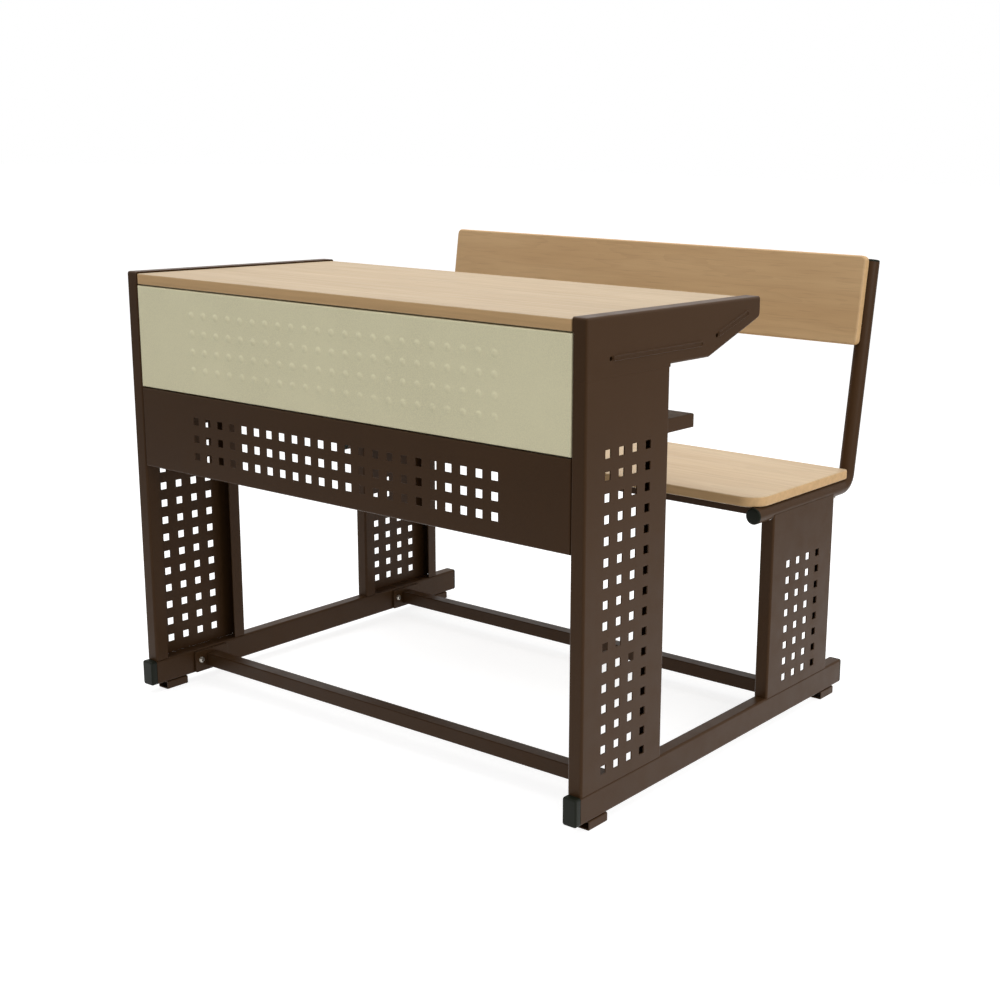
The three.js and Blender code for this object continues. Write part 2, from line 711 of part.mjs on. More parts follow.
// Cross tubes between the seat tubes
const seat_rail_x = tube_x - seat_tube_radius - contact_gap;
for (const [end, start] of [['front', seat_pillar_setback], ['rear', seat_pillar_end - seat_rail_size]]) {
  const tube = square_tube_x(-seat_rail_x, seat_rail_x, start, seat_low - contact_gap - seat_rail_size,
    seat_rail_size, tie_wall, tie_corner);
  add_piece(`seat_rail_${end}`, tube, brown_paint);
}

// Centre the desk over the origin
const bounds = new THREE.Box3().setFromObject(desk);
const centre_y = (bounds.min.y + bounds.max.y) / 2;
for (const mesh of desk.children) {
  mesh.geometry.translate(0, -centre_y, 0);
}

export default desk;
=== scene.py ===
"""Two-seat school desk with a fixed bench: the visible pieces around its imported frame.

Metres. X is the width, Y runs from the front panel to the bench, Z is up.
The right side is at plus X. Left-hand pieces are mirrored from right-hand ones.
"""
import math
import bmesh
import bpy
from bpy.props import FloatProperty, FloatVectorProperty, IntProperty, PointerProperty
from mathutils import Matrix, Vector


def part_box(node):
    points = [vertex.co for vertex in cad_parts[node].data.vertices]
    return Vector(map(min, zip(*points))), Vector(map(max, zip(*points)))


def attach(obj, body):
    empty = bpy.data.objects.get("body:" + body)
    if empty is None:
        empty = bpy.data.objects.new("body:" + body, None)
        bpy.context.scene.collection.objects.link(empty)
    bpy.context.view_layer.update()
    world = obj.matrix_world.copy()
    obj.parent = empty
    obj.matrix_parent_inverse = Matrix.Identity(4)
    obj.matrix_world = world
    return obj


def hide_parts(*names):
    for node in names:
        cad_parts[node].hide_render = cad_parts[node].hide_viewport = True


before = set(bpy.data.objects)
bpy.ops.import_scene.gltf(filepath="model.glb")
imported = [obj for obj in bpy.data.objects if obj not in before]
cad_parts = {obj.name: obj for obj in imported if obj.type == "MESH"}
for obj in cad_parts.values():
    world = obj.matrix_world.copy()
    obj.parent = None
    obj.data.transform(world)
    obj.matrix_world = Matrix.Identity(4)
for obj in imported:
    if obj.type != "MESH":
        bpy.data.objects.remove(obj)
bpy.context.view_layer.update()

bl_info = {
    "name": "Two-Seat School Desk",
    "version": (1, 0, 0),
    "blender": (4, 5, 0),
    "location": "View3D > Sidebar > School Desk",
    "description": "Builds the visible pieces of a two-seat school desk around its packed frame",
    "category": "Add Mesh",
}

X_AXIS, Y_AXIS, Z_AXIS = Vector((1, 0, 0)), Vector((0, 1, 0)), Vector((0, 0, 1))
QUARTER_TURN, FULL_TURN = math.pi / 2, 2 * math.pi
NEAR = 0.00005  # vertices closer than this to a place count as being there
ENDS, SIDES = ("front", "rear"), ("right", "left")

# Places that follow from the frame
RAIL_LOW, RAIL_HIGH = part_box("floor_rail_right")
FRONT_Y = RAIL_LOW.y
INNER_X, SIDE_X = RAIL_LOW.x, RAIL_HIGH.x
TUBE_LOW, TUBE_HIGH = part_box("seat_tube_right")
TUBE_X = (TUBE_LOW.x + TUBE_HIGH.x) / 2

# Steps of a quarter turn: in general, then where a curve is larger or smaller
STEPS = 6
RIM_STEPS = 5
WIDE_STEPS = 8
SEAT_CORNER_STEPS = 14
# Sides of round things, and steps along the seat tubes' bend and a bead's round end
BOLT_SIDES, SHANK_SIDES, SCREW_SIDES, WASHER_SIDES = 6, 16, 20, 28
DIMPLE_SIDES, PIT_SIDES, TUBE_SIDES = 16, 20, 32
TUBE_BEND_STEPS, BEAD_END_STEPS = 14, 8

# Angles in degrees above which an edge stays sharp, or is softened
SHARP, SHARP_FASTENER = 40, 30
SHARP_ROUNDED, SHARP_SOFT = 50, 60  # on boards, beads and plugs; on caps and plates
SOFTENED = 50

# Shares of a fastener's head: heights of the crown and the washer, radii of the crown's top and
# the washer
CROWN_HEIGHT, WASHER_HEIGHT, CROWN_TOP, WASHER_RADIUS = 0.25, 0.2, 0.8, 1.05
# Most softness of a moulded cap as a share of its depth, and of its corners per inset
CAP_SOFT_SHARE, CAP_TIGHTENING = 0.6, 0.3
CHAMFER = 0.3  # where a tie plate's edge has its middle line, as a share of its softness
INNER_CORNER = 0.25  # least radius of a tube's inner corners, as a share of the outer ones

# Profiles: shares of a bead's half width and its rise, and of a dimple's radius and its rise
BEAD_PROFILE = ((1.0, -0.2), (1.0, 0.0), (0.92, 0.3), (0.8, 0.8), (0.73, 0.97), (0.68, 1.0),
                (0.62, 0.93), (0.52, 0.62), (0.42, 0.3), (0.34, 0.17), (0.2, 0.14))
DIMPLE_PROFILE = ((1.25, 0.0), (1.0, 0.12), (0.8, 0.5), (0.52, 0.88))
# Shares of a plug's radius and its head's height: the band, the shoulder's size, the crown
PLUG_BAND = ((0.985, 0.0), (1.0, 0.1), (1.0, 0.25))
PLUG_SHOULDER = (0.28, 0.65)
PLUG_CROWN = ((0.4, 0.975), (0.12, 1.0))
PLUG_TIP = 0.9  # radius of the spigot's tip, as a share of the spigot's

NOISE_SPAN = (0.3, 0.7)  # where most values of a noise lie
WHITE = (1.0, 1.0, 1.0, 1.0)
MIX_FIRST, MIX_SECOND, MIX_RESULT = 6, 7, 2  # places of a Mix node's colour sockets

# Each lamp's size, its place and the point that it faces
LAMPS = {
    "top": ((3.0, 3.0), (-0.35, 0.2, 2.8), (0.0, 0.0, 0.4)),
    "side": ((2.0, 1.6), (3.0, -0.2, 1.3), (0.3, 0.0, 0.4)),
    "front": ((2.4, 1.6), (-1.6, -3.0, 1.7), (0.0, -0.3, 0.5)),
}
FLOOR_REACH, CAMERA_REACH = 40.0, 100.0


def srgb(*levels):
    """A colour written as 0 to 255 display levels, as Blender's linear values."""
    shares = [level / 255 for level in levels]
    return tuple(s / 12.92 if s <= 0.04045 else ((s + 0.055) / 1.055) ** 2.4 for s in shares)


def length(name, default, description):
    return FloatProperty(
        name=name, default=default, min=0.0, unit="LENGTH", precision=4, description=description
    )


def tally(name, default, description):
    return IntProperty(name=name, default=default, min=1, description=description)


def tilt(name, degrees, description):
    return FloatProperty(
        name=name, default=math.radians(degrees), subtype="ANGLE", unit="ROTATION",
        description=description,
    )


def ratio(name, default, description):
    return FloatProperty(name=name, default=default, subtype="FACTOR", description=description)


def power(name, default, description):
    return FloatProperty(name=name, default=default, unit="POWER", description=description)


def colour(name, default, description):
    return FloatVectorProperty(
        name=name, default=default, size=3, min=0.0, max=1.0, subtype="COLOR",
        description=description,
    )


class DeskSteelSizes(bpy.types.PropertyGroup):
    """Sizes of the folded pillars, the rails, the ties and the tubes."""

    sheet: length("Sheet", 0.002, "Thickness of the pillars and wings")
    bend: length("Bend radius", 0.004, "Outer radius of the folds")
    lip: length("Lip", 0.025, "Depth of the lips on the pillars' inner side")
    hole: length("Hole", 0.013, "Side of a square hole")
    columns: tally("Pillar columns", 4, "Columns of holes in a pillar")
    desk_column_pitch: length("Desk column pitch", 0.033, "Between a desk pillar's hole columns")
    desk_row_pitch: length("Desk row pitch", 0.032, "Between a desk pillar's hole rows")
    desk_first_row: length("Desk first row", 0.027, "From the rail to a desk pillar's holes")
    seat_column_pitch: length("Seat column pitch", 0.034, "Between a seat pillar's hole columns")
    seat_row_pitch: length("Seat row pitch", 0.0296, "Between a seat pillar's hole rows")
    seat_first_row: length("Seat first row", 0.025, "From the rail to a seat pillar's holes")
    last_row: length("Last row", 0.080, "Least distance from the holes to a pillar's top")
    seam_reach: length("Seam reach", 0.00024, "How far a desk pillar's web enters the seam above")
    weld_reach: length("Weld reach", 0.0009, "How far a pillar's web runs down over the rail")
    rail_wall: length("Rail wall", 0.002, "Wall of the floor rails and feet")
    rail_corner: length("Rail corner", 0.004, "Outer corner radius of the floor rails")
    tie_wall: length("Tie wall", 0.0015, "Wall of the square tubes")
    tie_corner: length("Tie corner", 0.002, "Outer corner radius of the square tubes")
    plate_corner: length("Plate corner", 0.003, "Corner radius of the tie plates")
    plate_edge: length("Plate edge", 0.0008, "Softness of the tie plates' edges")
    tube_wall: length("Tube wall", 0.0016, "Wall of the bent seat tubes")
    tube_bend: length("Tube bend", 0.026, "Radius of the seat tubes' bend, at their middle line")
    gap: length("Gap", 0.0003, "Play between pieces that touch")
    edge: length("Edge", 0.0002, "Softness of cut sheet edges under the paint")


class DeskWingSizes(bpy.types.PropertyGroup):
    """Sizes of the side wings. Starts and ends lie behind the front, drops below the wing's top."""

    step: length("Step", 0.0037, "Height of the lower edge over the seam, behind the pillar")
    slope_start: length("Slope start", 0.311, "Where the lower edge begins to rise")
    rear_drop: length("Rear drop", 0.033, "Drop of the rear end of the sloping edge")
    corner: length("Lower corners", 0.010, "Radius of the lower corners")
    rear_flange: length("Rear flange", 0.015, "Width of the flange behind the pillar")
    bead_width: length("Bead width", 0.0096, "Width of the pressed beads")
    bead_rise: length("Bead rise", 0.0021, "Height of the pressed beads")
    long_bead_start: length("Long bead start", 0.056, "Where the long bead starts")
    long_bead_end: length("Long bead end", 0.294, "Where the long bead ends")
    long_bead_drop: length("Long bead drop", 0.061, "Drop of the long bead")
    short_bead_start: length("Short bead start", 0.330, "Where the short bead starts")
    short_bead_end: length("Short bead end", 0.424, "Where the short bead ends")
    short_bead_start_drop: length("Short bead start drop", 0.052, "Drop of the short bead's start")
    short_bead_end_drop: length("Short bead end drop", 0.022, "Drop of the short bead's end")
    pit: length("Pit", 0.0033, "Radius of the round pit where a bead starts")
    pit_depth: length("Pit depth", 0.005, "Depth of those pits below the wing's face")
    pit_wall: length("Pit wall", 0.001, "Wall of the pits behind the wing's sheet")


class DeskPanelSizes(bpy.types.PropertyGroup):
    """Sizes of the two front panels and the shelf."""

    sheet: length("Sheet", 0.0012, "Thickness of the panels and the shelf")
    bend: length("Bend radius", 0.0028, "Outer radius of the panels' folded edges")
    return_depth: length("Return", 0.014, "Depth of the panels' folded edges")
    edge: length("Edge", 0.0003, "Softness of the modesty panel's and the shelf's cut edges")
    front_edge: length("Front panel edge", 0.0002, "Softness of the front panel's cut edges")
    columns: tally("Columns", 23, "Columns of holes and of dimples")
    pitch: length("Column pitch", 0.0303, "Between columns of holes and of dimples")
    hole_rows: tally("Hole rows", 3, "Rows of holes")
    hole_row_pitch: length("Hole row pitch", 0.0305, "Between rows of holes")
    first_hole_row: length("First hole row", 0.035, "Height of the holes above the edge")
    dimple_rows: tally("Dimple rows", 4, "Rows of dimples")
    dimple_row_pitch: length("Dimple row pitch", 0.031, "Between rows of dimples")
    first_dimple_row: length("First dimple row", 0.0415, "Height of the dimples above the edge")
    dimple_radius: length("Dimple radius", 0.0062, "Radius of a dimple")
    dimple_rise: length("Dimple rise", 0.0015, "Height of a dimple")


class DeskBoardSizes(bpy.types.PropertyGroup):
    """Sizes of the three boards."""

    top_edge: length("Top edge", 0.0018, "Edge rounding of the desk top")
    top_corner: length("Top corner", 0.004, "Corner radius of the desk top")
    seat_edge: length("Seat edge", 0.003, "Edge rounding of the seat")
    seat_front_corner: length("Seat front corner", 0.038, "Radius of the seat's front corners")
    seat_rear_corner: length("Seat rear corner", 0.006, "Radius of the seat's rear corners")
    tube_relief: length("Tube relief", 0.0015, "Play between the tubes and the seat's hollows")
    back_edge: length("Backrest edge", 0.004, "Edge rounding of the backrest")
    back_corner: length("Backrest corner", 0.010, "Corner radius of the backrest")
    back_thickness: length("Backrest thickness", 0.018, "Thickness of the backrest")
    band_blend: length("Band blend", 0.0003, "Half the width over which edge bands begin")
    lean: tilt("Lean", 8.25, "How far the seat's uprights and backrest lean back")


class DeskMouldedSizes(bpy.types.PropertyGroup):
    """Sizes of the rails' moulded caps and the seat tubes' plugs."""

    cap_edge: length("Cap edge", 0.003, "Most softness of a cap's outer edges")
    cap_root: length("Cap root", 0.0006, "Softness of a cap's edges against the rail")
    spigot_corner: length("Spigot corner", 0.002, "Outer corner radius of a cap's spigot")
    spigot_wall: length("Spigot wall", 0.002, "Wall of a cap's spigot")
    bore_corner: length("Bore corner", 0.001, "Corner radius of the bore in a cap's spigot")
    bore_start: length("Bore start", 0.001, "Where that bore ends, inwards from the rail's end")
    plug_head: length("Plug head", 0.004, "Height of a plug's head")
    plug_spigot: length("Plug spigot", 0.014, "How far a plug goes into its tube")
    plug_taper: length("Plug taper", 0.001, "Length of the taper at a plug's tip")


class DeskFastenerSizes(bpy.types.PropertyGroup):
    """Sizes of the bolts and wood screws."""

    bolt_head: length("Bolt head", 0.0052, "Radius of the six-sided bolt heads")
    bolt_head_height: length("Bolt head height", 0.004, "Height of the bolt heads")
    bolt_shank: length("Bolt shank", 0.003, "Radius of the bolts")
    screw_head: length("Screw head", 0.005, "Radius of the screw heads")
    screw_head_height: length("Screw head height", 0.003, "Height of the screw heads")
    screw_shank: length("Screw shank", 0.0024, "Radius of the screws")
    edge: length("Edge", 0.0002, "Softness of the bolts' and screws' edges")


class DeskFinishes(bpy.types.PropertyGroup):
    """Colours of the finishes."""

    brown: colour("Brown paint", srgb(66, 45, 26), "Powder coat of the steelwork")
    cream: colour("Cream paint", srgb(243, 236, 198), "Powder coat of the front panel")
    # Painted shade: the desk top's two tones are darker copies of the seat's laminate, so the top,
    # which the overhead lamp lights more than the seat, shows no brighter than the seat
    top_light: colour("Desk top, light", srgb(188, 165, 132), "Light tone of the desk top")
    top_dark: colour("Desk top, dark", srgb(173, 149, 115), "Dark tone of the desk top")
    seat_light: colour("Seat, light", srgb(211, 187, 152), "Light tone of the seat")
    seat_dark: colour("Seat, dark", srgb(196, 168, 132), "Dark tone of the seat")
    backrest_light: colour("Backrest, light", srgb(206, 172, 128), "Light tone of the backrest")
    backrest_dark: colour("Backrest, dark", srgb(191, 155, 111), "Dark tone of the backrest")
    wood_edge: colour("Wood edge", srgb(212, 173, 123), "Edge bands of the three boards")
    cap: colour("Caps", srgb(20, 23, 14), "Moulded end caps and plugs")
    steel: colour("Steel", srgb(200, 195, 186), "Zinc plate of the bolts and screws")


class DeskStageSettings(bpy.types.PropertyGroup):
    """The studio and the camera."""

    floor: colour("Floor", (0.52, 0.52, 0.52), "Floor")
    floor_roughness: ratio("Floor roughness", 0.9, "Roughness of the floor")
    seen_glow: ratio("Seen glow", 0.8, "Glow of the floor that the camera sees")
    # Painted light: the near and far glows make the floor glow in reflections only, brighter near
    # the desk, as a lit pool of floor around it
    near_glow: ratio("Near glow", 1.35, "Glow of the floor near the desk, in reflections")
    far_glow: ratio("Far glow", 0.15, "Glow of the floor far from the desk, in reflections")
    near: length("Near", 0.8, "How far from the desk's middle the near glow ends")
    far: length("Far", 3.0, "How far from the desk's middle the far glow begins")
    ambient: ratio("Ambient", 0.42, "Strength of the light from all round")
    backdrop: ratio("Backdrop", 1.0, "Strength of the backdrop that is seen")
    top_light: power("Top light", 63.0, "Large lamp overhead")
    side_light: power("Side light", 33.0, "Lamp on the right")
    front_light: power("Front light", 2.0, "Lamp in front")
    azimuth: tilt("Azimuth", 34.972, "Turn of the camera round the desk")
    elevation: tilt("Elevation", 13.325, "Height of the camera over the horizon")
    roll: tilt("Roll", 1.289, "Tilt of the camera to its side")
    target: FloatVectorProperty(
        name="Target", default=(0.323478, 0.398704, 0.4), size=3, subtype="XYZ", unit="LENGTH",
        description="Point that the camera turns about, measured from the rails' front ends",
    )
    distance: length("Distance", 2.590822, "From the camera to that point")
    focal_share: ratio("Focal share", 1.534594, "Focal length over the picture's width")
    middle_x: ratio("Middle X", 0.644769, "Where the optical axis lies across the picture")
    middle_y: ratio("Middle Y", 0.507154, "Where the optical axis lies down the picture")


# Node trees


class Wire:
    """An output in a node tree. Arithmetic on it adds Math nodes."""

    def __init__(self, build, socket):
        self.build = build
        self.socket = socket

    def math(self, operation, *others):
        inputs = dict(enumerate((self, *others)))
        return self.build.wire("ShaderNodeMath", inputs, operation=operation)

    def __add__(self, other):
        return self.math("ADD", other)

    def __sub__(self, other):
        return self.math("SUBTRACT", other)

    def __mul__(self, other):
        return self.math("MULTIPLY", other)

    def __mod__(self, other):
        return self.math("MODULO", other)

    def __gt__(self, other):
        return self.math("GREATER_THAN", other)


class NodeBuilder:
    """Adds nodes to a tree. An input is given a plain value or a wire."""

    def __init__(self, tree):
        self.tree = tree

    def fill(self, node, inputs):
        for key, value in inputs.items():
            if isinstance(value, Wire):
                self.tree.links.new(value.socket, node.inputs[key])
            else:
                node.inputs[key].default_value = value

    def add(self, kind, inputs=None, **settings):
        node = self.tree.nodes.new(kind)
        for key, value in settings.items():
            setattr(node, key, value)
        self.fill(node, inputs or {})
        return node

    def wire(self, kind, inputs=None, output=0, **settings):
        """Adds a node and gives one of its outputs."""
        return Wire(self, self.add(kind, inputs, **settings).outputs[output])

    def joined(self, *geometries):
        node = self.add("GeometryNodeJoinGeometry")
        for geometry in geometries:
            self.tree.links.new(geometry.socket, node.inputs[0])
        return Wire(self, node.outputs[0])

    def own_space(self):
        return self.wire("ShaderNodeTexCoord", output="Object")

    def mapped(self, space, **inputs):
        return self.wire("ShaderNodeMapping", {"Vector": space, **inputs})

    def noise(self, space, scale, detail=2.0, roughness=0.5):
        return self.wire("ShaderNodeTexNoise", {
            "Vector": space, "Scale": scale, "Detail": detail, "Roughness": roughness,
        }, "Fac")

    def ramp(self, factor, span, to=(0.0, 1.0)):
        return self.wire("ShaderNodeMapRange", {
            "Value": factor, "From Min": span[0], "From Max": span[1],
            "To Min": to[0], "To Max": to[1],
        })

    def mixed(self, factor, first, second):
        inputs = {"Factor": factor, MIX_FIRST: first, MIX_SECOND: second}
        return self.wire("ShaderNodeMix", inputs, MIX_RESULT, data_type="RGBA")

    def bumped(self, height, distance, strength, **below):
        inputs = {"Height": height, "Distance": distance, "Strength": strength, **below}
        return self.wire("ShaderNodeBump", inputs)

    def rays(self):
        """Whether a ray comes from the camera, and whether from a mirror or through glass."""
        paths = self.add("ShaderNodeLightPath").outputs
        camera, glossy, through = [
            Wire(self, paths[f"Is {kind} Ray"]) for kind in ("Camera", "Glossy", "Transmission")
        ]
        return camera, glossy.math("MAXIMUM", through)


SOCKETS = {
    "geometry": "NodeSocketGeometry",
    "number": "NodeSocketFloat",
    "count": "NodeSocketInt",
    "material": "NodeSocketMaterial",
    "piece": "NodeSocketObject",
}


class ShapeTree:
    """A Geometry Nodes tree with named inputs that ends in Realize Instances and Set Material."""

    def __init__(self, name, **inputs):
        """Each kind of input is given with its labels."""
        self.tree = bpy.data.node_groups.new(name, "GeometryNodeTree")
        self.build = NodeBuilder(self.tree)
        interface = self.tree.interface
        self.identifiers = {}
        for kind, labels in {"geometry": ["Geometry"], **inputs, "material": ["Material"]}.items():
            for label in labels:
                socket = interface.new_socket(name=label, in_out="INPUT", socket_type=SOCKETS[kind])
                self.identifiers[label] = socket.identifier
        interface.new_socket(name="Geometry", in_out="OUTPUT", socket_type=SOCKETS["geometry"])
        outputs = self.build.add("NodeGroupInput").outputs
        self.given = {label: Wire(self.build, outputs[label]) for label in self.identifiers}

    def close(self, geometry):
        realized = self.build.wire("GeometryNodeRealizeInstances", {"Geometry": geometry})
        painted = self.build.wire(
            "GeometryNodeSetMaterial", {"Geometry": realized, "Material": self.given["Material"]}
        )
        self.build.add("NodeGroupOutput", {"Geometry": painted})
        return self

    def mesh(self, values, start=None):
        """The plain mesh the tree makes with these input values, as a bmesh."""
        holder = bpy.data.objects.new("holder", start or bpy.data.meshes.new("holder"))
        bpy.context.scene.collection.objects.link(holder)
        modifier = holder.modifiers.new("shape", "NODES")
        modifier.node_group = self.tree
        for label, value in values.items():
            modifier[self.identifiers[label]] = value
        evaluated = holder.evaluated_get(bpy.context.evaluated_depsgraph_get())
        made = bpy.data.meshes.new_from_object(evaluated)
        shape = bmesh.new()
        shape.from_mesh(made)
        bpy.data.meshes.remove(made)
        bpy.data.objects.remove(holder)
        if not shape.faces:
            raise RuntimeError(f"{self.tree.name} made no faces")
        return shape


def web_places(along, count, first, pitch, hole, extent):
    """Places of a web's grid lines on one axis, and which of the strips between them have holes.

    Each hole has a line on both sides, and the web has one more at both ends. The grid's points
    lie a whole step apart about zero. Quarters and halves keep the tests clear of rounding.
    """
    line = along + count + 0.5
    before = line - 1.0
    number = ((before + 0.25) * 0.5).math("FLOOR")
    edge = before - number * 2.0
    place = first + number * pitch + (edge - 0.5) * hole
    is_last = line > count * 2.0 + 0.5
    is_inside = (line > 0.5) - is_last
    strip = (along + count + 0.25) % 2.0
    return place * is_inside + extent * is_last, strip > 1.0


def perforated_web_tree():
    """A flat web of sheet with rows of square holes."""
    shape = ShapeTree("Perforated Web", count=("Columns", "Rows"), number=(
        "Hole", "Column Pitch", "Row Pitch", "First Column", "First Row", "Width", "Height",
    ))
    build, given = shape.build, shape.given
    grid_size = {}
    for axis, label in (("X", "Columns"), ("Y", "Rows")):
        lines = given[label] * 2.0 + 2.0
        grid_size[f"Size {axis}"] = lines - 1.0
        grid_size[f"Vertices {axis}"] = lines
    grid = build.wire("GeometryNodeMeshGrid", grid_size)
    place = build.add("ShaderNodeSeparateXYZ", {0: build.wire("GeometryNodeInputPosition")}).outputs
    target, in_hole = [], []
    for axis, (kind, extent) in enumerate((("Column", "Width"), ("Row", "Height"))):
        labels = (f"{kind}s", f"First {kind}", f"{kind} Pitch", "Hole", extent)
        there, strip = web_places(Wire(build, place[axis]), *[given[label] for label in labels])
        target.append(there)
        in_hole.append(strip)
    punched = build.wire("GeometryNodeDeleteGeometry", {
        "Geometry": grid, "Selection": in_hole[0] * in_hole[1],
    }, domain="FACE")
    target = build.wire("ShaderNodeCombineXYZ", dict(enumerate(target)))
    inputs = {"Geometry": punched, "Position": target}
    return shape.close(build.wire("GeometryNodeSetPosition", inputs))


def dimple_field_tree():
    """A sheet of square cells with a raised dimple in each."""
    shape = ShapeTree("Dimple Field", piece=("Cell",), count=("Columns", "Rows"),
                      number=("Column Pitch", "Row Pitch"))
    build, given = shape.build, shape.given
    grid = build.wire("GeometryNodeMeshGrid", {
        "Size X": (given["Columns"] - 1.0) * given["Column Pitch"],
        "Size Y": (given["Rows"] - 1.0) * given["Row Pitch"],
        "Vertices X": given["Columns"],
        "Vertices Y": given["Rows"],
    })
    cell = build.wire("GeometryNodeObjectInfo", {"Object": given["Cell"]}, "Geometry")
    inputs = {"Points": grid, "Instance": cell}
    return shape.close(build.wire("GeometryNodeInstanceOnPoints", inputs))


def fastener_tree():
    """Screws or bolts on points, each along its point's axis with its head's top at the point."""
    shape = ShapeTree("Fasteners", count=("Sides",), number=("Head", "Head Height", "Shank"))
    build, given = shape.build, shape.given
    points, sides, radius, height = [
        given[label] for label in ("Geometry", "Sides", "Head", "Head Height")
    ]

    def attribute(name, kind):
        inputs = {"Name": name}
        return build.wire("GeometryNodeInputNamedAttribute", inputs, "Attribute", data_type=kind)

    def cylinder(sides, radius, depth, middle):
        made = build.wire("GeometryNodeMeshCylinder", {
            "Vertices": sides, "Radius": radius, "Depth": depth,
        })
        offset = build.wire("ShaderNodeCombineXYZ", {2: middle})
        return build.wire("GeometryNodeTransform", {"Geometry": made, "Translation": offset})

    span, axis = attribute("length", "FLOAT"), attribute("axis", "FLOAT_VECTOR")
    crown_height, washer_height = height * CROWN_HEIGHT, height * WASHER_HEIGHT
    plain_height = height - crown_height - washer_height
    crown = build.wire("GeometryNodeMeshCone", {
        "Vertices": sides, "Radius Bottom": radius * CROWN_TOP, "Radius Top": radius,
        "Depth": crown_height,
    })
    head = build.joined(
        crown,
        cylinder(sides, radius, plain_height, crown_height + plain_height * 0.5),
        cylinder(WASHER_SIDES, radius * WASHER_RADIUS, washer_height,
                 crown_height + plain_height + washer_height * 0.5),
    )
    turn = build.wire("FunctionNodeAlignRotationToVector", {"Vector": axis}, axis="Z")
    heads = build.wire("GeometryNodeInstanceOnPoints", {
        "Points": points, "Instance": head, "Rotation": turn,
    })
    seat = build.wire("ShaderNodeVectorMath", {0: axis, "Scale": height}, operation="SCALE")
    shanks = build.wire("GeometryNodeInstanceOnPoints", {
        "Points": build.wire("GeometryNodeSetPosition", {"Geometry": points, "Offset": seat}),
        "Instance": cylinder(SHANK_SIDES, given["Shank"], 1.0, 0.5),
        "Rotation": turn,
        "Scale": build.wire("ShaderNodeCombineXYZ", {0: 1.0, 1: 1.0, 2: span - height}),
    })
    return shape.close(build.joined(heads, shanks))


# Finishes


def new_material(name):
    material = bpy.data.materials.new(name)
    material.use_nodes = True
    material.node_tree.nodes.clear()
    build = NodeBuilder(material.node_tree)
    shader = build.add("ShaderNodeBsdfPrincipled")
    build.add("ShaderNodeOutputMaterial", {0: Wire(build, shader.outputs[0])})
    return material, build, shader


def shaded(tone, share=1.0):
    return (*[level * share for level in tone], 1.0)


def paint_material(name, tone, waviness, specular):
    """Powder coat: orange peel, faint cloudiness and the slight unevenness of sheet metal."""
    material, build, shader = new_material(name)
    space = build.own_space()
    cloud = build.noise(space, scale=7.0, detail=3.0)
    speckle = build.noise(space, scale=900.0, detail=1.0)
    sheen = build.noise(space, scale=30.0)
    base = build.mixed(build.ramp(cloud, NOISE_SPAN), shaded(tone, 0.95), shaded(tone, 1.05))
    dents, peel = build.noise(space, scale=9.0, detail=1.0), build.noise(space, scale=420.0)
    sheet = build.bumped(dents, distance=0.004, strength=waviness)
    build.fill(shader, {
        "Base Color": build.mixed(build.ramp(speckle, (0.35, 0.75)), base, shaded(tone, 1.12)),
        "Roughness": build.ramp(sheen, NOISE_SPAN, to=(0.36, 0.46)),
        "Normal": build.bumped(peel, distance=0.0004, strength=0.12, Normal=sheet),
        "Specular IOR Level": specular,
    })
    return material


def wood_material(name, tones, middle, half_board, blend, seed, turn, contrast):
    """Satin laminate with a pale grain along X, and plain bands on the edges.

    A turn about X through the board's middle lays its thickness along Z. Bands begin where Z is
    within half_board.
    """
    light, dark, band = tones
    material, build, shader = new_material(name)
    centred = build.mapped(build.own_space(), Location=-middle)
    own = build.mapped(centred, Rotation=(turn, 0, 0))

    def grain(along, across, **settings):
        space = build.mapped(own, Location=seed, Scale=(along, across, across))
        return build.noise(space, **settings)

    broad = grain(0.55, 5.0, scale=2.4, detail=4.0, roughness=0.55)
    streaks = grain(1.6, 60.0, scale=2.2, detail=3.0, roughness=0.6)
    pores = build.ramp(grain(14.0, 420.0, scale=1.0, detail=1.0), (0.58, 0.72))
    rings = (broad * 9.0).math("FRACT").math("POWER", 3.0)
    base = build.mixed(build.ramp(broad, NOISE_SPAN), shaded(light), shaded(dark))
    for marks, strength, share in (
        (rings, 0.30, 0.82),
        (build.ramp(streaks, (0.35, 0.7)), 0.35, 0.93),
        (pores, 0.22, 0.6),
    ):
        base = build.mixed(marks * (strength * contrast), base, shaded(dark, share))
    height = build.wire("ShaderNodeSeparateXYZ", {0: own}, 2).math("ABSOLUTE")
    on_edge = build.ramp(height, (half_board + blend, half_board - blend))
    banded = build.mixed(build.ramp(streaks, NOISE_SPAN), shaded(band, 1.06), shaded(band, 0.9))
    relief = build.bumped(pores, distance=0.0002, strength=0.25)
    build.fill(shader, {
        "Base Color": build.mixed(on_edge, base, banded),
        "Roughness": build.ramp(streaks, NOISE_SPAN, to=(0.42, 0.54)),
        "Normal": build.bumped(streaks, distance=0.0003, strength=0.12, Normal=relief),
        "Specular IOR Level": 0.3,
    })
    return material


def plastic_material(name, tone):
    """Moulded plastic with a fine spark-eroded grain."""
    material, build, shader = new_material(name)
    space = build.own_space()
    cloud = build.noise(space, scale=22.0)
    build.fill(shader, {
        "Base Color": build.mixed(cloud, shaded(tone, 0.85), shaded(tone, 1.2)),
        "Roughness": build.ramp(cloud, NOISE_SPAN, to=(0.44, 0.56)),
        "Normal": build.bumped(build.noise(space, scale=1400.0), distance=0.0003, strength=0.2),
        "Specular IOR Level": 0.12,
    })
    return material


def steel_material(name, tone):
    """Bright zinc plate, faintly brushed and clouded."""
    material, build, shader = new_material(name)
    space = build.own_space()
    cloud = build.noise(space, scale=160.0, detail=3.0)
    build.fill(shader, {
        "Base Color": build.mixed(cloud, shaded(tone, 0.8), shaded(tone)),
        "Roughness": build.ramp(cloud, NOISE_SPAN, to=(0.22, 0.4)),
        "Normal": build.bumped(build.noise(space, scale=1200.0), distance=0.0002, strength=0.15),
        "Metallic": 1.0,
    })
    return material


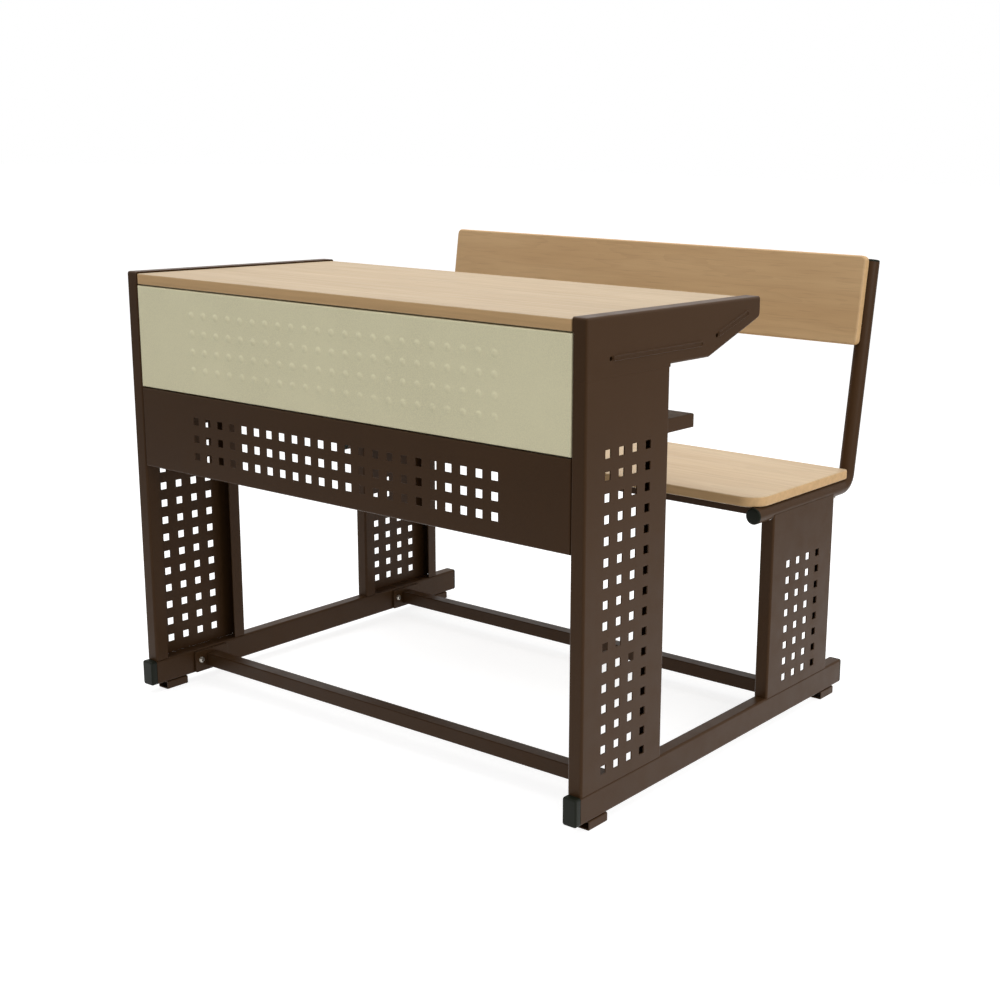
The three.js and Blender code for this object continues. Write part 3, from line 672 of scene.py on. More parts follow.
FINISHES = {
    "brown_paint": lambda tones: paint_material(
        "brown_powder_coat", tones.brown, waviness=0.05, specular=0.1),
    "cream_paint": lambda tones: paint_material(
        "cream_powder_coat", tones.cream, waviness=0.09, specular=0.3),
    "cap_plastic": lambda tones: plastic_material("moulded_caps", tones.cap),
    "bright_steel": lambda tones: steel_material("zinc_plate", tones.steel),
}
made_materials = {}


def finish(slot):
    """The material of a slot, made the first time it is asked for."""
    if slot not in made_materials:
        made_materials[slot] = FINISHES[slot](bpy.context.scene.desk_finishes)
    return made_materials[slot]


# Outlines


def arc(centre_a, centre_b, radius, start, sweep, steps):
    angles = [start + sweep * k / steps for k in range(steps + 1)]
    return [(centre_a + radius * math.cos(a), centre_b + radius * math.sin(a)) for a in angles]


def circle(centre_a, centre_b, radius, sides, start=0.0):
    return arc(centre_a, centre_b, radius, start, FULL_TURN, sides)[:-1]


def quarter(steps=STEPS):
    """Angles from zero to a quarter turn."""
    return [QUARTER_TURN * k / steps for k in range(steps + 1)]


def rounded_box(a0, a1, b0, b1, radius, steps=STEPS):
    """Outline of a box with equal round corners, anticlockwise from its right lower corner."""
    corners = [(a1 - radius, b0 + radius), (a1 - radius, b1 - radius),
               (a0 + radius, b1 - radius), (a0 + radius, b0 + radius)]
    return [
        point for k, (a, b) in enumerate(corners)
        for point in arc(a, b, radius, (k - 1) * QUARTER_TURN, QUARTER_TURN, steps)
    ]


def section(low, high, axis, inset, radius):
    """Outline of a box cut across X (0) or Y (1), set in from the box's sides."""
    side = 1 - axis
    return rounded_box(low[side] + inset, high[side] - inset, low.z + inset, high.z - inset, radius)


def laid(outline, axis, place):
    """An outline's points in space: at a place on one axis, with the other two in order."""
    return [Vector((*point[:axis], place, *point[axis:])) for point in outline]


def rounded_path(points, radii, steps):
    """A closed path through points with its corners rounded."""
    result = []
    for k, (point, radius) in enumerate(zip(points, radii)):
        if radius <= 0:
            result.append(point)
            continue
        here = Vector(point)
        to_before = (Vector(points[k - 1]) - here).normalized()
        to_after = (Vector(points[(k + 1) % len(points)]) - here).normalized()
        half = to_before.angle(to_after) / 2
        reach = radius / math.tan(half)
        centre = here + (to_before + to_after).normalized() * radius / math.sin(half)
        first = here + to_before * reach - centre
        last = here + to_after * reach - centre
        sweep = first.angle_signed(last)
        result += [
            tuple(centre + Matrix.Rotation(-sweep * step / steps, 2) @ first)
            for step in range(steps + 1)
        ]
    return result


def shifted_path(path, distance, closed=False):
    """The path moved to its left."""
    points = [Vector(p) for p in path]
    count = len(points)
    moved = []
    for k, point in enumerate(points):
        along_in = (point - points[k - 1]).normalized()
        along_out = (points[(k + 1) % count] - point).normalized()
        if not closed and k == 0:
            along_in = along_out
        if not closed and k == count - 1:
            along_out = along_in
        share = distance / (1 + along_in.dot(along_out))
        total = along_in + along_out
        moved.append((point.x - total.y * share, point.y + total.x * share))
    return moved


# Closed shapes and sheets


def stitch(shape, low, high, closed=True):
    """Faces between two rows of vertices."""
    for k in range(len(low) if closed else len(low) - 1):
        after = (k + 1) % len(low)
        shape.faces.new((low[k], low[after], high[after], high[k]))


def skin(shape, rings, closed=True):
    """Adds rings of points to a shape, with faces from each ring to the next."""
    rows = [[shape.verts.new(point) for point in ring] for ring in rings]
    for low, high in zip(rows, rows[1:]):
        stitch(shape, low, high, closed)
    return rows


def loft(rings, loop=False):
    """A closed shape through rings of points: a loop of rings, or a row with both ends filled."""
    shape = bmesh.new()
    rows = skin(shape, rings)
    if loop:
        stitch(shape, rows[-1], rows[0])
    else:
        shape.faces.new(rows[0])
        shape.faces.new(rows[-1])
    bmesh.ops.recalc_face_normals(shape, faces=shape.faces)
    return shape


def both_ways(profile, start, end):
    """A profile of insets and depths laid inwards from a start, and back out to an end."""
    rising = [(inset, start + depth) for inset, depth in profile]
    return rising + [(inset, end - depth) for inset, depth in reversed(profile)]


def box_tube(node, axis, wall, corner):
    """A tube with straight cut ends that fills a CAD node's box along X (0) or Y (1)."""
    low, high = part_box(node)
    outer = section(low, high, axis, 0.0, corner)
    inner = section(low, high, axis, wall, max(corner - wall, corner * INNER_CORNER))
    start, end = low[axis], high[axis]
    rings = [laid(outer, axis, start), laid(outer, axis, end),
             laid(inner, axis, end), laid(inner, axis, start)]
    return loft(rings, loop=True)


def free_edges(shape, test):
    """The open edges of a sheet whose two ends both pass the test."""
    return [e for e in shape.edges if e.is_boundary and all(test(v.co) for v in e.verts)]


def drawn_out(shape, edges, moves):
    """Draws open edges out through moves. A move is a vector, or a rule from place to vector."""
    for move in moves:
        made = bmesh.ops.extrude_edge_only(shape, edges=edges)["geom"]
        fresh = {item for item in made if isinstance(item, bmesh.types.BMVert)}
        edges = [
            item for item in made
            if isinstance(item, bmesh.types.BMEdge) and all(v in fresh for v in item.verts)
        ]
        for vertex in fresh:
            vertex.co += move(vertex.co) if callable(move) else move
    return edges


def bend_steps(radius, steps=STEPS):
    """How far an edge moves out and back in each step of a fold."""
    angles = quarter(steps)
    return [
        (radius * (math.sin(b) - math.sin(a)), radius * (math.cos(a) - math.cos(b)))
        for a, b in zip(angles, angles[1:])
    ]


def fold_moves(outward, inward, folds):
    """Moves of an edge through folds, given as a straight length and a bend's outer radius each."""
    moves = []
    for straight, radius in folds:
        if straight > 0:
            moves.append(outward * straight)
        if radius > 0:
            moves += [outward * out + inward * back for out, back in bend_steps(radius)]
            outward, inward = inward, -outward
    return moves


def with_rim(shape, low, high, bend, depth):
    """Folds back the whole rim of a flat panel that faces plus Z, to a depth."""
    def outward(place, grown):
        at_high = [place[axis] > high[axis] + grown - NEAR for axis in (0, 1)]
        at_low = [place[axis] < low[axis] - grown + NEAR for axis in (0, 1)]
        return Vector((at_high[0] - at_low[0], at_high[1] - at_low[1], 0))

    edges = free_edges(shape, lambda place: any(outward(place, 0.0)))
    grown = 0.0
    for out, back in [*bend_steps(bend, RIM_STEPS), (0.0, depth - bend)]:
        edges = drawn_out(shape, edges, [lambda place: outward(place, grown) * out - Z_AXIS * back])
        grown += out


def placed(shape, origin, across, up, outward):
    """Moves a sheet drawn with X across, Y up and Z outward to its place, facing outward."""
    turn = Matrix((across, up, outward)).transposed().to_4x4()
    bmesh.ops.transform(shape, matrix=Matrix.Translation(origin) @ turn, verts=shape.verts)
    bmesh.ops.recalc_face_normals(shape, faces=shape.faces)
    shape.normal_update()
    largest = max(shape.faces, key=lambda face: face.calc_area())
    if largest.normal.dot(outward) < 0:
        bmesh.ops.reverse_faces(shape, faces=shape.faces)
    return shape


def flipped(shape):
    """The left-hand twin of a right-hand shape."""
    twin = shape.copy()
    bmesh.ops.scale(twin, vec=(-1, 1, 1), verts=twin.verts)
    bmesh.ops.reverse_faces(twin, faces=twin.faces)
    return twin


# Pieces


def object_of(name, shape, material=None):
    mesh = bpy.data.meshes.new(name)
    shape.to_mesh(mesh)
    shape.free()
    if material is not None:
        mesh.materials.append(material)
    thing = bpy.data.objects.new(name, mesh)
    bpy.context.scene.collection.objects.link(thing)
    return thing


def modified(piece, kind, **settings):
    """Gives a piece a modifier and makes that part of its mesh."""
    modifier = piece.modifiers.new(kind, kind)
    for key, value in settings.items():
        setattr(modifier, key, value)
    evaluated = piece.evaluated_get(bpy.context.evaluated_depsgraph_get())
    mesh = bpy.data.meshes.new_from_object(evaluated)
    piece.modifiers.clear()
    old = piece.data
    piece.data = mesh
    bpy.data.meshes.remove(old)


def finished(name, shape, nodes, slot="brown_paint", material=None,
             sheet=0.0, edge=0.0, cutters=(), sharp=SHARP):
    """Turns a shape into a piece of the desk that stands for CAD nodes."""
    shape.normal_update()
    piece = object_of(name, shape, material or finish(slot))
    if sheet > 0:
        modified(piece, "SOLIDIFY", thickness=sheet, offset=-1.0, use_even_offset=True)
    for cutter in cutters:
        tool = object_of("cutter", cutter)
        modified(piece, "BOOLEAN", object=tool, operation="DIFFERENCE", solver="EXACT")
        bpy.data.objects.remove(tool)
    if edge > 0:
        modified(piece, "BEVEL", width=edge, segments=2, limit_method="ANGLE",
                 angle_limit=math.radians(SOFTENED), use_clamp_overlap=True)
    for face in piece.data.polygons:
        face.use_smooth = True
    piece.data.set_sharp_from_angle(angle=math.radians(sharp))
    modified(piece, "WEIGHTED_NORMAL", keep_sharp=True)
    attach(piece, "root")
    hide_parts(*nodes)


def finished_pair(name, shape, node, cutters=(), **options):
    """A right-hand piece and its left-hand twin, which the cutters' twins cut."""
    twins = (shape, cutters), (flipped(shape), [flipped(cutter) for cutter in cutters])
    for side, (half, tools) in zip(SIDES, twins):
        finished(f"{name}_{side}", half, [f"{node}_{side}"], cutters=tools, **options)


def span_along(node, axis):
    """Where a CAD node begins along an axis through its middle, and how long it is."""
    side = axis.orthogonal().normalized()
    other = axis.cross(side)
    places = [v.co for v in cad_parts[node].data.vertices]
    lows, highs = zip(*[
        (min(p.dot(d) for p in places), max(p.dot(d) for p in places)) for d in (axis, side, other)
    ])
    start = axis * lows[0] + side * (lows[1] + highs[1]) / 2 + other * (lows[2] + highs[2]) / 2
    return start, highs[0] - lows[0]


def fasteners(name, places, sides, head, head_height, shank):
    """Screws or bolts at places: pairs of a CAD node and the axis from its head to its tip."""
    starts, lengths = zip(*[span_along(node, axis) for node, axis in places])
    mesh = bpy.data.meshes.new("places")
    mesh.from_pydata(starts, [], [])
    mesh.attributes.new("axis", "FLOAT_VECTOR", "POINT")
    mesh.attributes.new("length", "FLOAT", "POINT")
    axes = [part for node, axis in places for part in axis]
    mesh.attributes["axis"].data.foreach_set("vector", axes)
    mesh.attributes["length"].data.foreach_set("value", lengths)
    shape = fastener_tree().mesh({
        "Sides": sides, "Head": head, "Head Height": head_height, "Shank": shank,
        "Material": finish("bright_steel"),
    }, mesh)
    finished(name, shape, [node for node, axis in places], "bright_steel",
             edge=bpy.context.scene.desk_fasteners.edge, sharp=SHARP_FASTENER)


def cross_tubes(context, name, node):
    """A front and a rear square tube across the desk."""
    sizes = context.scene.desk_steel
    for end in ENDS:
        bar = box_tube(f"{node}_{end}", 0, sizes.tie_wall, sizes.tie_corner)
        finished(f"{end}_{name}", bar, [f"{node}_{end}"], edge=sizes.edge / 2)


class DeskPieceOperator:
    """Options that every operator of the desk shares."""

    bl_options = {"REGISTER", "UNDO"}


# Floor frame


class DESK_OT_floor_rails(DeskPieceOperator, bpy.types.Operator):
    """Two floor rails of upright rectangular tube"""

    bl_idname = "desk.floor_rails"
    bl_label = "Floor Rails"

    def execute(self, context):
        sizes = context.scene.desk_steel
        bar = box_tube("floor_rail_right", 1, sizes.rail_wall, sizes.rail_corner)
        finished_pair("rail_tube", bar, "floor_rail", edge=sizes.edge)
        return {"FINISHED"}


def cap_shape(steel, moulded, node, into):
    """A moulded cap: a head with soft edges, and a hollow spigot that goes into the rail."""
    low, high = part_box(node)
    face, outer, tip = (
        (RAIL_LOW.y - steel.gap, low.y, high.y) if into > 0
        else (RAIL_HIGH.y + steel.gap, high.y, low.y)
    )
    depth = abs(outer - face)
    soft = min(moulded.cap_edge, depth * CAP_SOFT_SHARE)
    spigot = steel.rail_wall + steel.gap
    bore = spigot + moulded.spigot_wall

    def ring(inset, radius, y):
        return laid(section(RAIL_LOW, RAIL_HIGH, 1, inset, radius), 1, y)

    def head(inset, y):
        return ring(inset, steel.rail_corner - inset * CAP_TIGHTENING, y)

    rings = [
        ring(bore, moulded.bore_corner, face + into * moulded.bore_start),
        ring(bore, moulded.bore_corner, tip),
        ring(spigot, moulded.spigot_corner, tip),
        ring(spigot, moulded.spigot_corner, face),
        head(moulded.cap_root, face),
        head(0.0, face - into * moulded.cap_root),
    ]
    for angle in quarter():
        reach = depth - soft + soft * math.sin(angle)
        rings.append(head(soft * (1 - math.cos(angle)), face - into * reach))
    return loft(rings)


class DESK_OT_rail_caps(DeskPieceOperator, bpy.types.Operator):
    """Moulded end caps of the floor rails, deep in front and shallow behind"""

    bl_idname = "desk.rail_caps"
    bl_label = "Rail End Caps"

    def execute(self, context):
        for end, into in zip(ENDS, (1, -1)):
            shape = cap_shape(context.scene.desk_steel, context.scene.desk_moulded,
                              f"rail_{end}_cap_right", into)
            finished_pair(f"{end}_end_cap", shape, f"rail_{end}_cap", slot="cap_plastic",
                          sharp=SHARP_SOFT)
        return {"FINISHED"}


class DESK_OT_feet(DeskPieceOperator, bpy.types.Operator):
    """Four short feet of open tube under the rails"""

    bl_idname = "desk.feet"
    bl_label = "Feet"

    def execute(self, context):
        sizes = context.scene.desk_steel
        for end in ENDS:
            bar = box_tube(f"{end}_foot_right", 1, sizes.rail_wall, sizes.rail_corner / 2)
            finished_pair(f"{end}_rail_foot", bar, f"{end}_foot", edge=sizes.edge)
        return {"FINISHED"}


class DESK_OT_cross_ties(DeskPieceOperator, bpy.types.Operator):
    """Two square cross tubes between the floor rails"""

    bl_idname = "desk.cross_ties"
    bl_label = "Cross Ties"

    def execute(self, context):
        cross_tubes(context, "cross_tube", "cross_tie")
        return {"FINISHED"}


class DESK_OT_tie_plates(DeskPieceOperator, bpy.types.Operator):
    """End plates of the cross ties"""

    bl_idname = "desk.tie_plates"
    bl_label = "Tie Plates"

    def execute(self, context):
        sizes = context.scene.desk_steel
        soft = sizes.plate_edge
        profile = [(soft, 0.0), (soft * CHAMFER, soft * CHAMFER), (0.0, soft)]
        for end in ENDS:
            low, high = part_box(f"tie_plate_{end}_right")
            shape = loft([
                laid(section(low, high, 0, inset, sizes.plate_corner), 0, x)
                for inset, x in both_ways(profile, low.x, high.x)
            ])
            finished_pair(f"{end}_end_plate", shape, f"tie_plate_{end}", sharp=SHARP_SOFT)
        return {"FINISHED"}


class DESK_OT_tie_bolts(DeskPieceOperator, bpy.types.Operator):
    """Eight bolts through the tie plates into the rails"""

    bl_idname = "desk.tie_bolts"
    bl_label = "Tie Bolts"

    def execute(self, context):
        sizes = context.scene.desk_fasteners
        places = [
            (f"tie_bolt_{end}_{place}_{side}", axis) for end in ENDS for place in ("a", "b")
            for side, axis in zip(SIDES, (X_AXIS, -X_AXIS))
        ]
        fasteners("plate_bolts", places, BOLT_SIDES,
                  sizes.bolt_head, sizes.bolt_head_height, sizes.bolt_shank)
        return {"FINISHED"}


# Folded pillars and wings


def perforated_web(columns, rows, pitch, first_row, size):
    """A brown web with its columns of square holes in the middle. Pitch and size are across, up."""
    return perforated_web_tree().mesh({
        "Columns": columns, "Rows": rows, "Hole": bpy.context.scene.desk_steel.hole,
        "Column Pitch": pitch[0], "Row Pitch": pitch[1],
        "First Column": (size[0] - (columns - 1) * pitch[0]) / 2, "First Row": first_row,
        "Width": size[0], "Height": size[1], "Material": finish("brown_paint"),
    })


def pillar_shape(sizes, kind, top_reach):
    """A pillar: a web with square holes, folded round to a flange and a lip at both edges."""
    low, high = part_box(f"{kind}_pillar_right")
    column_pitch, row_pitch, first_row = [
        getattr(sizes, f"{kind}_{key}") for key in ("column_pitch", "row_pitch", "first_row")
    ]
    bend = sizes.bend
    width, depth, height = high - low
    first_row += RAIL_HIGH.z - low.z
    rows = 1 + math.floor((height - sizes.last_row - first_row + NEAR) / row_pitch)
    web = (depth - 2 * bend, height)
    shape = perforated_web(sizes.columns, rows, (column_pitch, row_pitch), first_row, web)
    folds = [(0.0, bend), (width - 2 * bend, bend), (sizes.lip - bend, 0.0)]
    front = free_edges(shape, lambda place: place.x < NEAR)
    rear = free_edges(shape, lambda place: place.x > web[0] - NEAR)
    drawn_out(shape, front, fold_moves(-X_AXIS, -Z_AXIS, folds))
    drawn_out(shape, rear, fold_moves(X_AXIS, -Z_AXIS, folds))
    for vertex in shape.verts:
        if vertex.co.y < NEAR:
            vertex.co.y -= sizes.weld_reach if vertex.co.z > -NEAR else sizes.gap
        elif vertex.co.y > height - NEAR:
            vertex.co.y += top_reach
    return placed(shape, (high.x, low.y + bend, low.z), Y_AXIS, Z_AXIS, X_AXIS)


class DESK_OT_pillars(DeskPieceOperator, bpy.types.Operator):
    """Desk and seat pillars of folded sheet with square holes"""

    bl_idname = "desk.pillars"
    bl_label = "Pillars"

    def execute(self, context):
        sizes = context.scene.desk_steel
        saddle = loft(tube_rings(context, sizes.gap))
        for kind, top_reach, cutters in (("desk", sizes.seam_reach, []), ("seat", 0.0, [saddle])):
            shape = pillar_shape(sizes, kind, top_reach)
            finished_pair(f"folded_{kind}_pillar", shape, f"{kind}_pillar", cutters=cutters,
                          sheet=sizes.sheet, edge=sizes.edge)
        return {"FINISHED"}


def wing_shape(sizes, wing):
    """A wing: a flat plate whose edges are folded in, with a lip behind its front flange."""
    low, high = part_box("side_wing_right")
    board_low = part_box("desk_top")[0].z - low.z
    depth, height = high.y - low.y, high.z - low.z
    pillar_low, pillar_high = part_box("desk_pillar_right")
    pillar_depth = pillar_high.y - pillar_low.y
    bend, width = sizes.bend, SIDE_X - INNER_X
    corners = [
        (pillar_depth, wing.step), (wing.slope_start, wing.step), (depth, height - wing.rear_drop),
        (depth, height), (0.0, height), (0.0, board_low + sizes.sheet / 2), (0.0, board_low),
        (0.0, 0.0),
    ]
    radii = [0, wing.corner, wing.corner, bend, bend, 0, 0, 0]
    path = rounded_path(corners, radii, WIDE_STEPS)

    def reach(along, up):
        """Depth of the flange at a place on the wing's outline."""
        if up > height - bend - NEAR:
            return width
        if along < NEAR:
            return width - bend if up < board_low + NEAR else width
        return wing.rear_flange

    rings = []
    for angle in quarter():
        ring = shifted_path(path, bend * (1 - math.sin(angle)))
        rings.append([(a, b, -bend * (1 - math.cos(angle))) for a, b in ring])
    rings.append([(a, b, -reach(a, b)) for a, b in path])
    shape = bmesh.new()
    rows = skin(shape, rings, closed=False)
    shape.faces.new([shape.verts.new((pillar_depth, 0.0, 0.0)), *rows[0]])
    flange = -(width - bend)
    lip_edges = free_edges(shape, lambda place: (
        place.x < NEAR and abs(place.z - flange) < NEAR and place.y < board_low + NEAR
    ))
    drawn_out(shape, lip_edges, fold_moves(-Z_AXIS, X_AXIS, [(0.0, bend), (sizes.lip - bend, 0.0)]))
    return placed(shape, (SIDE_X, low.y, low.z), Y_AXIS, Z_AXIS, X_AXIS)


def bead_shape(wing, start, end):
    """A pressed bead with round ends on the wing's face: two low rims round a shallow bed."""
    along = (end - start).normalized()
    side = Vector((-along.y, along.x))
    rings = []
    for share, height in BEAD_PROFILE:
        radius, ring = wing.bead_width / 2 * share, []
        for centre, turn in ((end, -QUARTER_TURN), (start, QUARTER_TURN)):
            round_end = arc(0.0, 0.0, radius, turn, math.pi, BEAD_END_STEPS)
            ring += [centre + along * a + side * b for a, b in round_end]
        rings.append(laid(ring, 0, SIDE_X + height * wing.bead_rise))
    return loft(rings)


def pit_cutter(wing, sizes, y, z):
    """Cutter for the round pit where a bead starts."""
    hole = circle(y, z, wing.pit, PIT_SIDES)
    return loft([laid(hole, 0, SIDE_X - 2 * sizes.sheet), laid(hole, 0, SIDE_X + sizes.sheet)])


def pit_cup(wing, sizes, y, z):
    """The cup of a pit, behind the wing's sheet."""
    inside, outside = wing.pit + sizes.edge, wing.pit + wing.pit_wall
    mouth, bottom = SIDE_X - sizes.sheet + sizes.edge, SIDE_X - wing.pit_depth
    profile = ((inside, bottom), (inside, mouth),
               (outside, mouth), (outside, bottom - wing.pit_wall))
    return loft([laid(circle(y, z, radius, PIT_SIDES), 0, x) for radius, x in profile])


class DESK_OT_side_wings(DeskPieceOperator, bpy.types.Operator):
    """Folded side wings with their pressed beads"""

    bl_idname = "desk.side_wings"
    bl_label = "Side Wings"

    def execute(self, context):
        sizes, wing = context.scene.desk_steel, context.scene.desk_wings
        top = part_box("side_wing_right")[1].z

        def place(back, drop):
            return Vector((FRONT_Y + back, top - drop))

        beads = {
            "long_bead": (place(wing.long_bead_start, wing.long_bead_drop),
                          place(wing.long_bead_end, wing.long_bead_drop)),
            "short_bead": (place(wing.short_bead_start, wing.short_bead_start_drop),
                           place(wing.short_bead_end, wing.short_bead_end_drop)),
        }
        pits = [pit_cutter(wing, sizes, *start) for start, end in beads.values()]
        finished_pair("folded_side_wing", wing_shape(sizes, wing), "side_wing", cutters=pits,
                      sheet=sizes.sheet, edge=sizes.edge)
        for name, (start, end) in beads.items():
            inset = (end - start).normalized() * (wing.pit + wing.bead_width / 2)
            for part, shape in (("", bead_shape(wing, start + inset, end - inset)),
                                ("_pit", pit_cup(wing, sizes, *start))):
                finished_pair(name + part, shape, "side_wing", sharp=SHARP_ROUNDED)
        return {"FINISHED"}


# Panels and shelf


def dimple_cell(sizes):
    """One square of panel with a soft raised dimple in its middle."""
    across, up = sizes.pitch / 2, sizes.dimple_row_pitch / 2
    corners = [Vector((a * across, b * up, 0)) for a, b in ((1, -1), (1, 1), (-1, 1), (-1, -1))]
    steps = DIMPLE_SIDES // len(corners)
    rings = [[
        corner.lerp(after, step / steps)
        for corner, after in zip(corners, corners[1:] + corners[:1]) for step in range(steps)
    ]]
    for share, rise in DIMPLE_PROFILE:
        ring = circle(0.0, 0.0, sizes.dimple_radius * share, DIMPLE_SIDES, -QUARTER_TURN / 2)
        rings.append(laid(ring, 2, sizes.dimple_rise * rise))
    shape = bmesh.new()
    inner = skin(shape, rings)[-1]
    middle = shape.verts.new((0.0, 0.0, sizes.dimple_rise))
    for k in range(DIMPLE_SIDES):
        shape.faces.new((inner[k], inner[(k + 1) % DIMPLE_SIDES], middle))
    return shape


class DESK_OT_front_panel(DeskPieceOperator, bpy.types.Operator):
    """Cream front panel with four rows of raised dimples"""

    bl_idname = "desk.front_panel"
    bl_label = "Front Panel"

    def execute(self, context):
        sizes = context.scene.desk_panels
        low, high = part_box("front_panel")
        bend, pitch, rows = sizes.bend, sizes.dimple_row_pitch, sizes.dimple_rows
        cell = object_of("cell", dimple_cell(sizes))
        shape = dimple_field_tree().mesh({
            "Cell": cell, "Columns": sizes.columns, "Rows": rows, "Column Pitch": sizes.pitch,
            "Row Pitch": pitch, "Material": finish("cream_paint"),
        })
        bpy.data.objects.remove(cell)
        bmesh.ops.remove_doubles(shape, verts=shape.verts, dist=NEAR)
        middle = low.z + sizes.first_dimple_row + (rows - 1) * pitch / 2
        field = (sizes.columns * sizes.pitch / 2, rows * pitch / 2)
        web_low = (low.x + bend, low.z + bend - middle)
        web_high = (high.x - bend, high.z - bend - middle)
        for axis, way in enumerate((X_AXIS, Y_AXIS)):
            for sign, end in ((-1, web_low[axis]), (1, web_high[axis])):
                side = free_edges(shape, lambda place: place[axis] * sign > field[axis] - NEAR)
                drawn_out(shape, side, [way * (end - sign * field[axis])])
        with_rim(shape, web_low, web_high, bend, sizes.return_depth)
        placed(shape, (0.0, low.y, middle), X_AXIS, Z_AXIS, -Y_AXIS)
        finished("dimpled_front_panel", shape, ["front_panel"], "cream_paint",
                 sheet=sizes.sheet, edge=sizes.front_edge)
        return {"FINISHED"}


class DESK_OT_modesty_panel(DeskPieceOperator, bpy.types.Operator):
    """Brown modesty panel with three rows of square holes"""

    bl_idname = "desk.modesty_panel"
    bl_label = "Modesty Panel"

    def execute(self, context):
        sizes = context.scene.desk_panels
        low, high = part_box("modesty_panel")
        bend = sizes.bend
        size = (high.x - low.x - 2 * bend, high.z - low.z - 2 * bend)
        pitch, first_row = (sizes.pitch, sizes.hole_row_pitch), sizes.first_hole_row - bend
        shape = perforated_web(sizes.columns, sizes.hole_rows, pitch, first_row, size)
        with_rim(shape, (0.0, 0.0), size, bend, sizes.return_depth)
        placed(shape, (low.x + bend, low.y, low.z + bend), X_AXIS, Z_AXIS, -Y_AXIS)
        finished("perforated_modesty_panel", shape, ["modesty_panel"],
                 sheet=sizes.sheet, edge=sizes.edge)
        return {"FINISHED"}


def flat_square(a0, a1, b0, b1):
    """A single flat face at height zero."""
    shape = bmesh.new()
    corners = ((a0, b0, 0), (a1, b0, 0), (a1, b1, 0), (a0, b1, 0))
    shape.faces.new([shape.verts.new(corner) for corner in corners])
    return shape


class DESK_OT_book_shelf(DeskPieceOperator, bpy.types.Operator):
    """Book shelf, a folded sheet tray open below"""

    bl_idname = "desk.book_shelf"
    bl_label = "Book Shelf"

    def execute(self, context):
        sizes = context.scene.desk_panels
        low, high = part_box("book_shelf")
        bend = sizes.bend
        size = (high.x - low.x - 2 * bend, high.y - low.y - 2 * bend)
        shape = flat_square(0.0, size[0], 0.0, size[1])
        with_rim(shape, (0.0, 0.0), size, bend, high.z - low.z)
        placed(shape, (low.x + bend, low.y + bend, high.z), X_AXIS, Y_AXIS, Z_AXIS)
        finished("folded_book_shelf", shape, ["book_shelf"], sheet=sizes.sheet, edge=sizes.edge)
        return {"FINISHED"}


# Boards and their bearers


def board_shape(outline, edge, bottom, top):
    """A level board with quarter-round edges."""
    profile = [(edge * (1 - math.sin(angle)), edge * (1 - math.cos(angle))) for angle in quarter()]
    return loft([
        laid(shifted_path(outline, inset, closed=True), 2, z)
        for inset, z in both_ways(profile, bottom, top)
    ])


def finished_board(name, shape, node, tone, thickness, edge, seed,
                   turn=0.0, contrast=1.0, cutters=()):
    """Turns a board's shape into a piece with its own laminate, which ends half-way down the
    rounded edges."""
    low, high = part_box(node)
    tones, sizes = bpy.context.scene.desk_finishes, bpy.context.scene.desk_boards
    shades = (getattr(tones, f"{tone}_light"), getattr(tones, f"{tone}_dark"), tones.wood_edge)
    wood = wood_material(f"laminate_{tone}", shades, (low + high) / 2, (thickness - edge) / 2,
                         sizes.band_blend, seed, turn, contrast)
    finished(name, shape, [node], "wood_board", material=wood, cutters=cutters, sharp=SHARP_ROUNDED)


class DESK_OT_desk_top(DeskPieceOperator, bpy.types.Operator):
    """Laminated desk top"""

    bl_idname = "desk.desk_top"
    bl_label = "Desk Top"

    def execute(self, context):
        sizes = context.scene.desk_boards
        low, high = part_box("desk_top")
        outline = rounded_box(low.x, high.x, low.y, high.y, sizes.top_corner)
        # The "top" tones carry painted shade: the seat's laminate, darkened to offset the overhead
        # lamp's extra light on the top
        finished_board("laminated_desk_top", board_shape(outline, sizes.top_edge, low.z, high.z),
                       "desk_top", "top", high.z - low.z, sizes.top_edge, seed=(0.3, 0.1, 0.0),
                       contrast=1.4)
        return {"FINISHED"}


class DESK_OT_top_bearers(DeskPieceOperator, bpy.types.Operator):
    """Square cross tubes that carry the desk top"""

    bl_idname = "desk.top_bearers"
    bl_label = "Top Bearers"

    def execute(self, context):
        cross_tubes(context, "top_tube", "top_bearer")
        return {"FINISHED"}


class DESK_OT_seat_board(DeskPieceOperator, bpy.types.Operator):
    """Seat board with round front corners, hollowed where the tubes rise past it"""

    bl_idname = "desk.seat_board"
    bl_label = "Seat Board"

    def execute(self, context):
        sizes = context.scene.desk_boards
        low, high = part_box("seat_board")
        front, rear = sizes.seat_front_corner, sizes.seat_rear_corner
        corners = [(low.x, low.y), (high.x, low.y), (high.x, high.y), (low.x, high.y)]
        outline = rounded_path(corners, [front, front, rear, rear], SEAT_CORNER_STEPS)
        relief = loft(tube_rings(context, sizes.tube_relief))
        finished_board("laminated_seat", board_shape(outline, sizes.seat_edge, low.z, high.z),
                       "seat_board", "seat", high.z - low.z, sizes.seat_edge, seed=(1.7, 0.4, 0.0),
                       cutters=[flipped(relief), relief])
        return {"FINISHED"}


